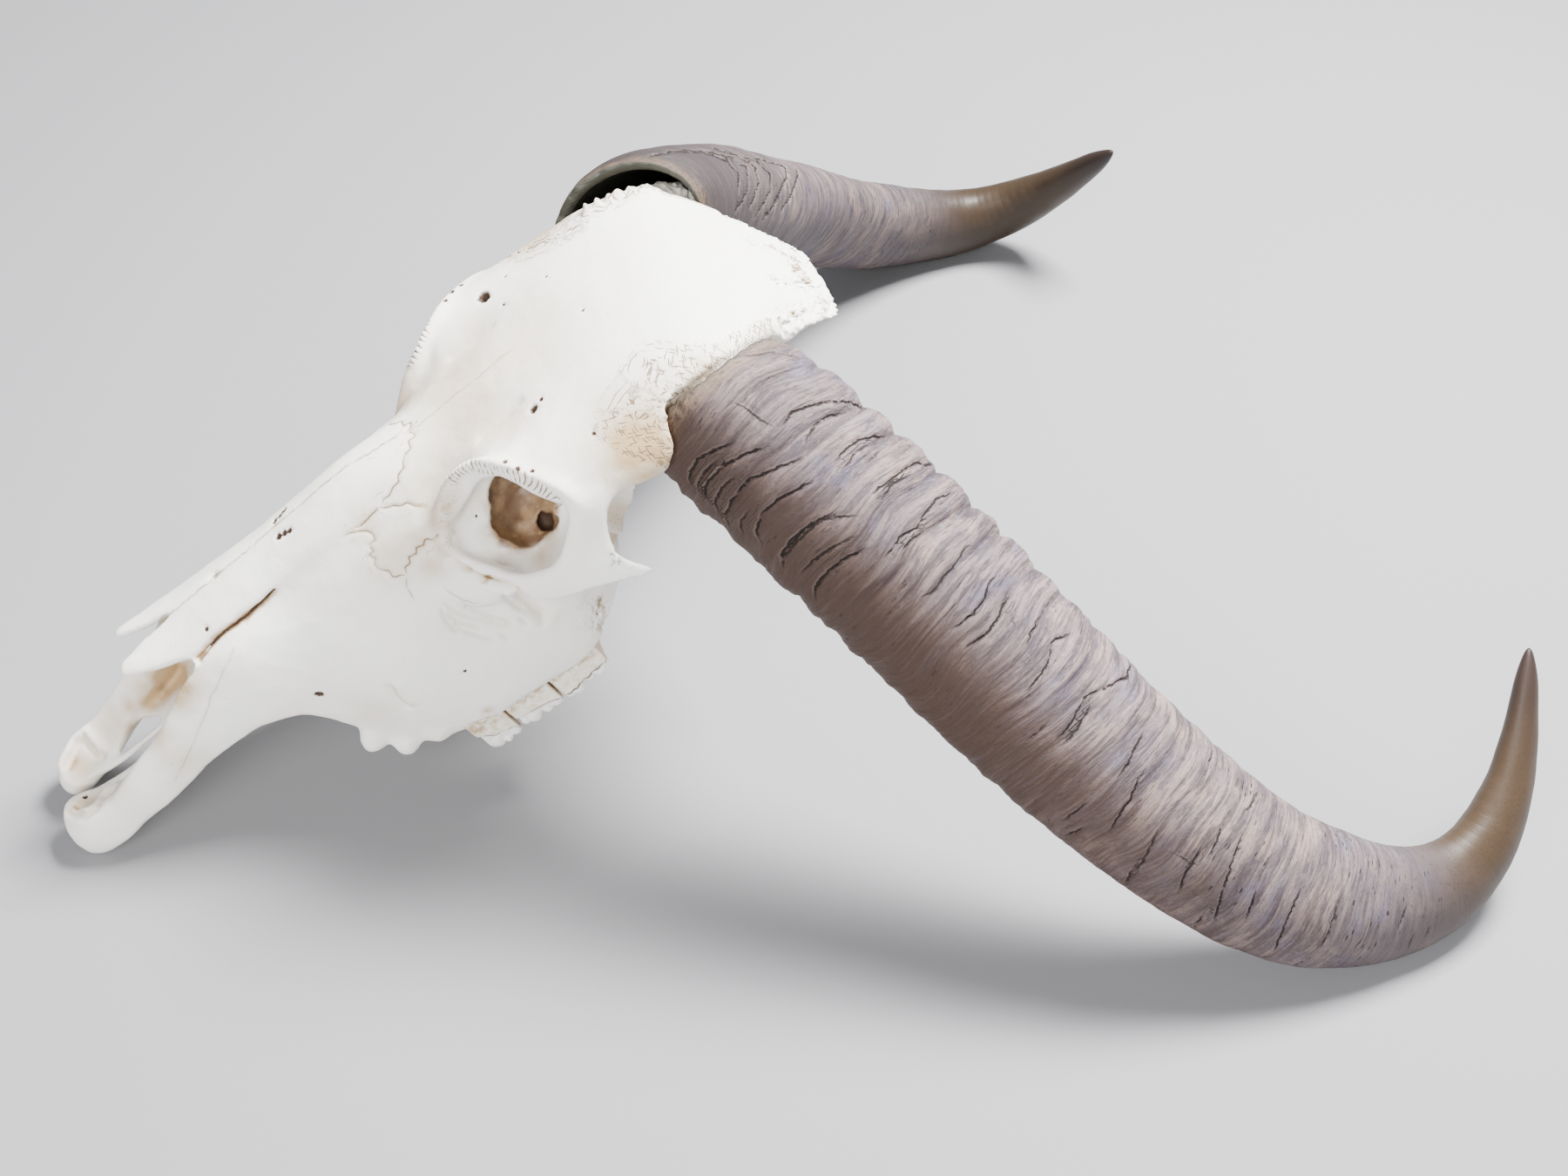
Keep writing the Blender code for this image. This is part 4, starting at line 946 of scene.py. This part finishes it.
def slipped(points):
    """Carries points of the left horn over to the right one, where it has slipped to."""
    turned = (
        Matrix.Translation(SLIP_PIVOT + SLIP)
        @ Matrix.Rotation(SLIP_TURN[2], 4, "Z")
        @ Matrix.Rotation(SLIP_TURN[1], 4, "Y")
        @ Matrix.Rotation(SLIP_TURN[0], 4, "X")
        @ Matrix.Translation(-SLIP_PIVOT)
    )
    turned = np.array(turned)
    flipped = points * (-1.0, 1.0, 1.0) + (2.0 * MIDDLE, 0.0, 0.0)
    return flipped @ turned[:3, :3].T + turned[:3, 3]


def sheath(name, cracks, right=False):
    """A horn bent up from a flat grid. One side of the grid runs from the tip over the mouth to the
    hollow's end."""
    bpy.ops.object.select_all(action="DESELECT")
    rows = SHEATH_ROWS + INNER_ROWS
    bpy.ops.mesh.primitive_grid_add(x_subdivisions=rows, y_subdivisions=SHEATH_AROUND, size=2.0)
    piece = bpy.context.object
    piece.name = name
    flat = read(piece)
    step = (flat[:, 0] + 1.0) / 2.0 * rows
    turns = (flat[:, 1] + 1.0) * math.pi
    inside = step > SHEATH_ROWS + 0.5
    inner_places = (step - SHEATH_ROWS) / INNER_ROWS * HOLLOW_END
    places = np.where(inside, inner_places, 1.0 - np.minimum(step, SHEATH_ROWS) / SHEATH_ROWS)
    wall = SHEATH_WALL + (HOLLOW_WALL - SHEATH_WALL) * (places / HOLLOW_END) ** 3
    growth = rings_of_growth(places, turns, right)
    relief = weathering(places, turns, growth, right)
    points = horn_points(places, turns, np.where(inside, -wall, relief))
    for end in (0, rows):
        ring = np.abs(step - end) < 0.5
        points[ring] = points[ring].mean(axis=0)
    if right:
        points = slipped(points)
    write(piece, points)
    keep(piece, "growth", growth)
    keep(piece, "place", np.where(inside, -places, places))
    keep(piece, "rise", relief * 1000.0)
    mended(piece)
    skin = surface_of(piece)
    points, normals = read(piece), read(piece, "normal")
    lines = [(traced(pixels, skin, sway=2.0, pace=2.0), force) for force, *pixels in cracks]
    side, force, at = beside(points, normals, lines, reach=0.007, taper=0.008)
    keep(piece, "crack", np.stack([side * 1000.0, force, at * 1000.0], 1))
    lifted = np.where(side > 0.0, LIP_RISE, -LIP_FALL) * bell(side, LIP_WIDTH)
    points += normals * (force * (lifted - CRACK_DEPTH * bell(side, CRACK_WIDTH)))[:, None]
    kept_in(piece, points, "horn_" + name)
    piece.data.shade_smooth()
    return piece


def keratin(name, dull, sheen, tip_from, shade, base):
    """Weathered horn: grey and tan bands across it, its ring crests painted lighter and its troughs
    darker as painted light and shade, its lower side painted darker as shade over brown, cracked
    and fibrous, and browner and smoother from tip_from on. Dull and sheen are its roughness before
    the tip and at it, shade lightens or darkens all of it, and base is how far it darkens towards
    the mouth."""
    made, shader, start = finish_of(name)

    def dye(red, green, blue):
        return colour(1.03 * shade * red, shade * green, 1.09 * shade * blue)

    growth, crack = (stored(start, wanted) for wanted in ("growth", "crack"))
    place, rise = (stored(start, wanted, output=2) for wanted in ("place", "rise"))
    worn = 1.0 - place.between(tip_from - 0.16, tip_from + 0.04)
    bands = growth.noise((0.06, 0.06, 0.02), 4.0, 0.6, 0.3)
    patches = growth.noise((0.035, 0.035, 0.024), 4.0, 0.6)
    layers = growth.noise((0.03, 0.03, 0.0045), 3.0, 0.6, 0.2)
    streaks = growth.noise((0.03, 0.03, 0.0018), 4.0, 0.6)
    fibres = growth.noise((0.01, 0.01, 0.0006), 3.0, 0.6)
    flecks = growth.noise((0.003, 0.003, 0.0012), 4.0, 0.65)
    grain = growth.noise((0.003, 0.003, 0.0009), 4.0, 0.7)
    # Painted shade over brown on the horn's lower side
    underside_shade = (growth.part(0) * -0.82 + growth.part(1) * 0.57).between(0.014, 0.04)

    where = growth.noise((0.045, 0.045, 0.035), 2.0).between(0.4, 0.6)
    far = place.between(0.4, 0.5) * (1.0 - place.between(0.72, 0.8))
    ticks = growth.cells((0.012, 0.012, 0.0022))
    opened = (1.0 - ticks.between(0.09, 0.2)) * where * (0.35 + far * 0.65) * worn
    ragged = (growth.noise(0.0024, 4.0, 0.7) - 0.5) * 2.6
    torn = growth.noise(0.006, 3.0, 0.6).between(0.3, 0.5)
    split = 1.0 - abs(crack.part(0) + ragged).between(0.15, 0.85)
    split = split * (crack.part(1) * 1.6 * torn).least(1.0)
    opened = opened.most(split)
    lip = (1.0 - abs(crack.part(0) - 1.1).between(0.2, 0.9)) * crack.part(1)

    # Painted light and shade: ring crests lighter and troughs darker after the stored relief, mixed
    # with random bands
    crest_light_and_bands = rise.between(-1.8, 0.8) * 0.65 + bands.between(0.4, 0.6) * 0.35
    tone = crest_light_and_bands.mixed(dye(0.052, 0.042, 0.05), dye(0.185, 0.145, 0.132))
    pale = patches.between(0.52, 0.66) * place.between(0.02, 0.2)
    basal_underside_shade = (underside_shade * (1.0 - place.between(0.25, 0.8)) * (0.55 + streaks * 0.9)).least(1.0)
    rim = (1.0 - place.between(0.004, 0.016)) * flecks.between(0.35, 0.6)
    for amount, shades in (
        (pale * 0.6, (0.29, 0.215, 0.165)),
        (patches.between(0.47, 0.34) * 0.65, (0.108, 0.102, 0.14)),
        (layers.between(0.53, 0.63) * 0.45 * worn, (0.27, 0.205, 0.17)),
        (layers.between(0.48, 0.39) * 0.7 * worn, (0.04, 0.031, 0.037)),
        (streaks.between(0.51, 0.59) * 0.6 * worn, (0.04, 0.029, 0.028)),
        (fibres.between(0.5, 0.75) * 0.25 * worn, (0.3, 0.255, 0.235)),
        (flecks.between(0.52, 0.7) * 0.45, (0.045, 0.034, 0.034)),
        (grain.between(0.55, 0.7) * 0.35 * worn, (0.3, 0.25, 0.23)),
        (grain.between(0.45, 0.32) * 0.45 * worn, (0.035, 0.026, 0.026)),
        (place.between(0.54, 0.74) * 0.7, (0.066, 0.06, 0.07)),
        # painted shade over brown on the lower side, away from the tip
        (basal_underside_shade, (0.046, 0.027, 0.018)),
        ((1.0 - place.between(0.0, 0.3)) * base, (0.036, 0.028, 0.026)),
        (rim * 0.7, (0.17, 0.118, 0.065)),
        (lip * 0.14 * worn, (0.38, 0.3, 0.245)),
    ):
        tone = amount.mixed(tone, dye(*shades))
    tip = place.between(tip_from - 0.16, tip_from + 0.03)
    brown = flecks.mixed(dye(0.027, 0.018, 0.01), dye(0.06, 0.039, 0.021))
    brown = place.between(0.88, 1.0).mixed(brown, dye(0.026, 0.017, 0.013))
    tone = tip.mixed(tone, brown)
    tone = (1.0 - place.between(-0.002, 0.004)).mixed(tone, colour(0.045, 0.046, 0.036))
    tone = (opened * 0.95).mixed(tone, colour(0.012, 0.008, 0.007))
    height = fibres * 0.15 + flecks * 0.25 + grain * 0.4 - streaks * 0.9
    height = height * (0.12 + 0.88 * worn) - opened
    rough = (tip * (sheen - dull) + dull) + flecks * 0.12 + opened * 0.2
    wired(start, shader, tone, rough, height)
    shader.inputs["Specular IOR Level"].default_value = 0.25
    return made


weathered = keratin("weathered_horn", dull=0.56, sheen=0.4, tip_from=0.76, shade=1.05, base=0.22)
smoother = keratin("smoother_horn", dull=0.5, sheen=0.38, tip_from=0.72, shade=0.72, base=0.92)
horns = (
    ("sheath_left", LEFT_CRACKS, False, weathered),
    ("sheath_right", RIGHT_CRACKS, True, smoother),
)
for name, cracks, right, finish in horns:
    horn = sheath(name, cracks, right)
    horn.data.materials.append(finish)
    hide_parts("horn_" + name)
    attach(horn, "root")


# The molars.
# Three high-crowned cheek teeth on each side, in a row that leans back and up. Each shows a band of
# pale cement, a brown line of dirt under it, and a row of rounded, pearly cusps of enamel below.
ROW_START, ROW_END = np.array((0.0737, -0.1635, 0.0602)), np.array((0.0699, -0.0806, 0.1043))
TOOTH_WIDTH, TOOTH_GAP, TOOTH_ROOT, TOOTH_VOXEL = 0.0215, 0.0006, 0.0098, 0.00045
DIRT_LINE = (  # distance along the row, depth below the gum
    (0.0, 0.004), (0.008, 0.0122), (0.0197, 0.0139), (0.0234, 0.0184), (0.0236, 0.0105),
    (0.0267, 0.0114), (0.0374, 0.0121), (0.0458, 0.0139), (0.0529, 0.0173), (0.0531, 0.017),
    (0.0623, 0.0172), (0.0727, 0.0147), (0.0821, 0.0137), (0.0875, 0.01),
)
MOLARS = (  # number, start and end along the row, cusps: along, depth, half width
    ("1", 0.0, 0.0235, (
        (0.0066, 0.019, 0.0062), (0.0127, 0.021, 0.003), (0.0188, 0.019, 0.0044),
    )),
    ("2", 0.0235, 0.053, (
        (0.0272, 0.0175, 0.0031), (0.0322, 0.019, 0.0053), (0.0412, 0.0188, 0.0038),
        (0.048, 0.0185, 0.0044),
    )),
    ("3", 0.053, 0.0875, (
        (0.057, 0.0188, 0.0036), (0.0622, 0.0202, 0.0048), (0.0719, 0.017, 0.0032),
        (0.0786, 0.018, 0.0043), (0.0846, 0.0125, 0.0024),
    )),
)


def tooth_frame():
    """The directions along the row, out to the cheek and down the crown, and where they start."""
    row = (ROW_END - ROW_START) / np.linalg.norm(ROW_END - ROW_START)
    out = np.array((1.0, 0.0, 0.0)) - row[0] * row
    out /= np.linalg.norm(out)
    return np.array((row, out, np.cross(row, out))), ROW_START - out * TOOTH_WIDTH / 2.0


def tooth_block(start, end, width, top, bottoms):
    """A block of the tooth, its lower end sloping from one depth in front to another behind."""
    bpy.ops.mesh.primitive_cube_add(size=2.0)
    block = bpy.context.object
    corners = read(block)
    behind, low = corners[:, 0] > 0.0, corners[:, 2] > 0.0
    depth = np.where(low, np.where(behind, bottoms[1], bottoms[0]), top)
    write(block, np.stack([np.where(behind, end, start), corners[:, 1] * width / 2.0, depth], 1))
    return block


def molar(number, start, end, cusps, right):
    """A molar in its solid's box, made in the row's own directions and then set in its place."""
    name = "molar_" + number + ("_right" if right else "_left")
    line = np.array(DIRT_LINE)
    start, end = start + TOOTH_GAP, end - TOOTH_GAP

    def dirt(along):
        return np.interp(np.clip(along, start, end), line[:, 0], line[:, 1])

    dirt_ends = dirt(np.array((start, end)))
    pieces = [
        tooth_block(start, end, TOOTH_WIDTH * 0.94, -TOOTH_ROOT, dirt_ends),
        tooth_block(start + 0.001, end - 0.001, TOOTH_WIDTH * 0.84, 0.0, (0.0175, 0.0165)),
    ]
    for along, depth, half in cusps:
        for side in (-1.0, 1.0):
            across = side * (TOOTH_WIDTH / 2.0 - half - 0.0002)
            bpy.ops.mesh.primitive_uv_sphere_add(segments=32, ring_count=16, radius=1.0)
            cusp = bpy.context.object
            centre = (along, across, depth - 0.15 * half)
            write(cusp, read(cusp) * (half, half, half * 1.15) + centre)
            pieces.append(cusp)
    bpy.ops.object.select_all(action="DESELECT")
    for piece in pieces:
        piece.select_set(True)
    tooth = pieces[0]
    bpy.context.view_layer.objects.active = tooth
    bpy.ops.object.join()
    tooth.name = name + "_detailed"
    finished(tooth, "REMESH", mode="VOXEL", voxel_size=TOOTH_VOXEL)
    finished(tooth, "SMOOTH", factor=0.5, iterations=4)
    points, normals = read(tooth), read(tooth, "normal")
    off = points[:, 2] - dirt(points[:, 0]) - 0.0004 * ripple(points / 0.003, 83.0)
    push = 0.00035 * ripple(points / 0.004, 81.0) - 0.0007 * bell(off, 0.0005)
    push += np.where(off < 0.0, 0.0, -0.0003)
    shaped = points + normals * push[:, None]
    to_gap = np.minimum(points[:, 0] - start, end - points[:, 0])
    keep(tooth, "tooth", np.stack([to_gap, off, points[:, 2]], 1) * 1000.0)
    directions, origin = tooth_frame()
    shaped = shaped @ directions + origin
    if right:
        shaped = shaped * (-1.0, 1.0, 1.0) + (2.0 * MIDDLE, 0.0, 0.0)
        tooth.data.flip_normals()
    kept_in(tooth, shaped, name)
    mended(tooth, sewn=False)
    tooth.data.shade_smooth()
    return tooth, name


def tooth_enamel():
    """Pale cement above a line of dirt, pearly enamel below it, and brown gaps between teeth."""
    made, shader, start = finish_of("tooth_enamel")
    place = start.node("TexCoord", {}, {}, output="Object")
    tooth_place = stored(start, "tooth")
    mottle = place.noise(0.004, 4.0, 0.6)
    lines = place.noise((0.0009, 0.006, 0.006), 3.0)
    lower = tooth_place.part(1).between(-0.2, 0.3)
    dirt = 1.0 - abs(tooth_place.part(1)).between(0.25, 0.8)
    cement = (colour(0.88, 0.835, 0.715), colour(0.74, 0.63, 0.445))
    tone = mottle.between(0.42, 0.72).mixed(*cement)
    tone = lower.mixed(tone, mottle.mixed(colour(0.8, 0.775, 0.745), colour(0.9, 0.875, 0.84)))
    gaps = (1.0 - tooth_place.part(0).between(0.0, 1.4)) * (1.0 - lower * 0.5)
    gum = (1.0 - tooth_place.part(2).between(0.0, 5.0)) * mottle.between(0.35, 0.6)
    tone = (gaps * 0.8).most(gum * 0.7).mixed(tone, colour(0.36, 0.225, 0.115))
    tone = (dirt * (0.6 + mottle * 0.6)).least(1.0).mixed(tone, colour(0.13, 0.085, 0.055))
    rough = 0.42 - lower * 0.16 + dirt * 0.3
    height = mottle * 0.25 + lines * 0.15 - dirt * 0.4
    wired(start, shader, tone, rough, height)
    return made


enamel = tooth_enamel()
for number, begin, end, cusps in MOLARS:
    for right in (False, True):
        tooth, name = molar(number, begin, end, cusps, right)
        tooth.data.materials.append(enamel)
        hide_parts(name)
        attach(tooth, "root")


# The floor.
# A plain pale floor that the skull lies on.
FLOOR_WIDTH, FLOOR_DROP = 12.0, 0.0002
bpy.ops.object.select_all(action="DESELECT")
bpy.ops.mesh.primitive_plane_add(size=FLOOR_WIDTH, location=(0.0, 0.0, -FLOOR_DROP))
floor = bpy.context.object
floor.name = "floor"
floor_finish = bpy.data.materials.new("pale_floor")
floor_finish.use_nodes = True
floor_shader = floor_finish.node_tree.nodes["Principled BSDF"]
floor_shader.inputs["Base Color"].default_value = (0.25, 0.25, 0.26, 1.0)
floor_shader.inputs["Roughness"].default_value = 0.9
floor.data.materials.append(floor_finish)


# The light.
# Plain soft studio light: one wide lamp high above the horns and a weaker one on the viewer's side.
def lamp(name, place, target, width, power):
    bpy.ops.object.light_add(type="AREA", location=place)
    made = bpy.context.object
    made.name = name
    made.data.size = width
    made.data.energy = power
    made.rotation_euler = (Vector(target) - Vector(place)).to_track_quat("-Z", "Y").to_euler()


lamp("high_lamp", place=(-0.15, 0.8, 1.7), target=(0.0, 0.0, 0.1), width=0.6, power=225.0)
lamp("near_lamp", place=(1.6, -1.0, 1.3), target=(0.0, 0.0, 0.1), width=1.4, power=75.0)
world = bpy.data.worlds.new("studio")
bpy.context.scene.world = world
world.use_nodes = True
world.node_tree.nodes["Background"].inputs["Color"].default_value = (0.95, 0.97, 1.0, 1.0)
world.node_tree.nodes["Background"].inputs["Strength"].default_value = 0.42
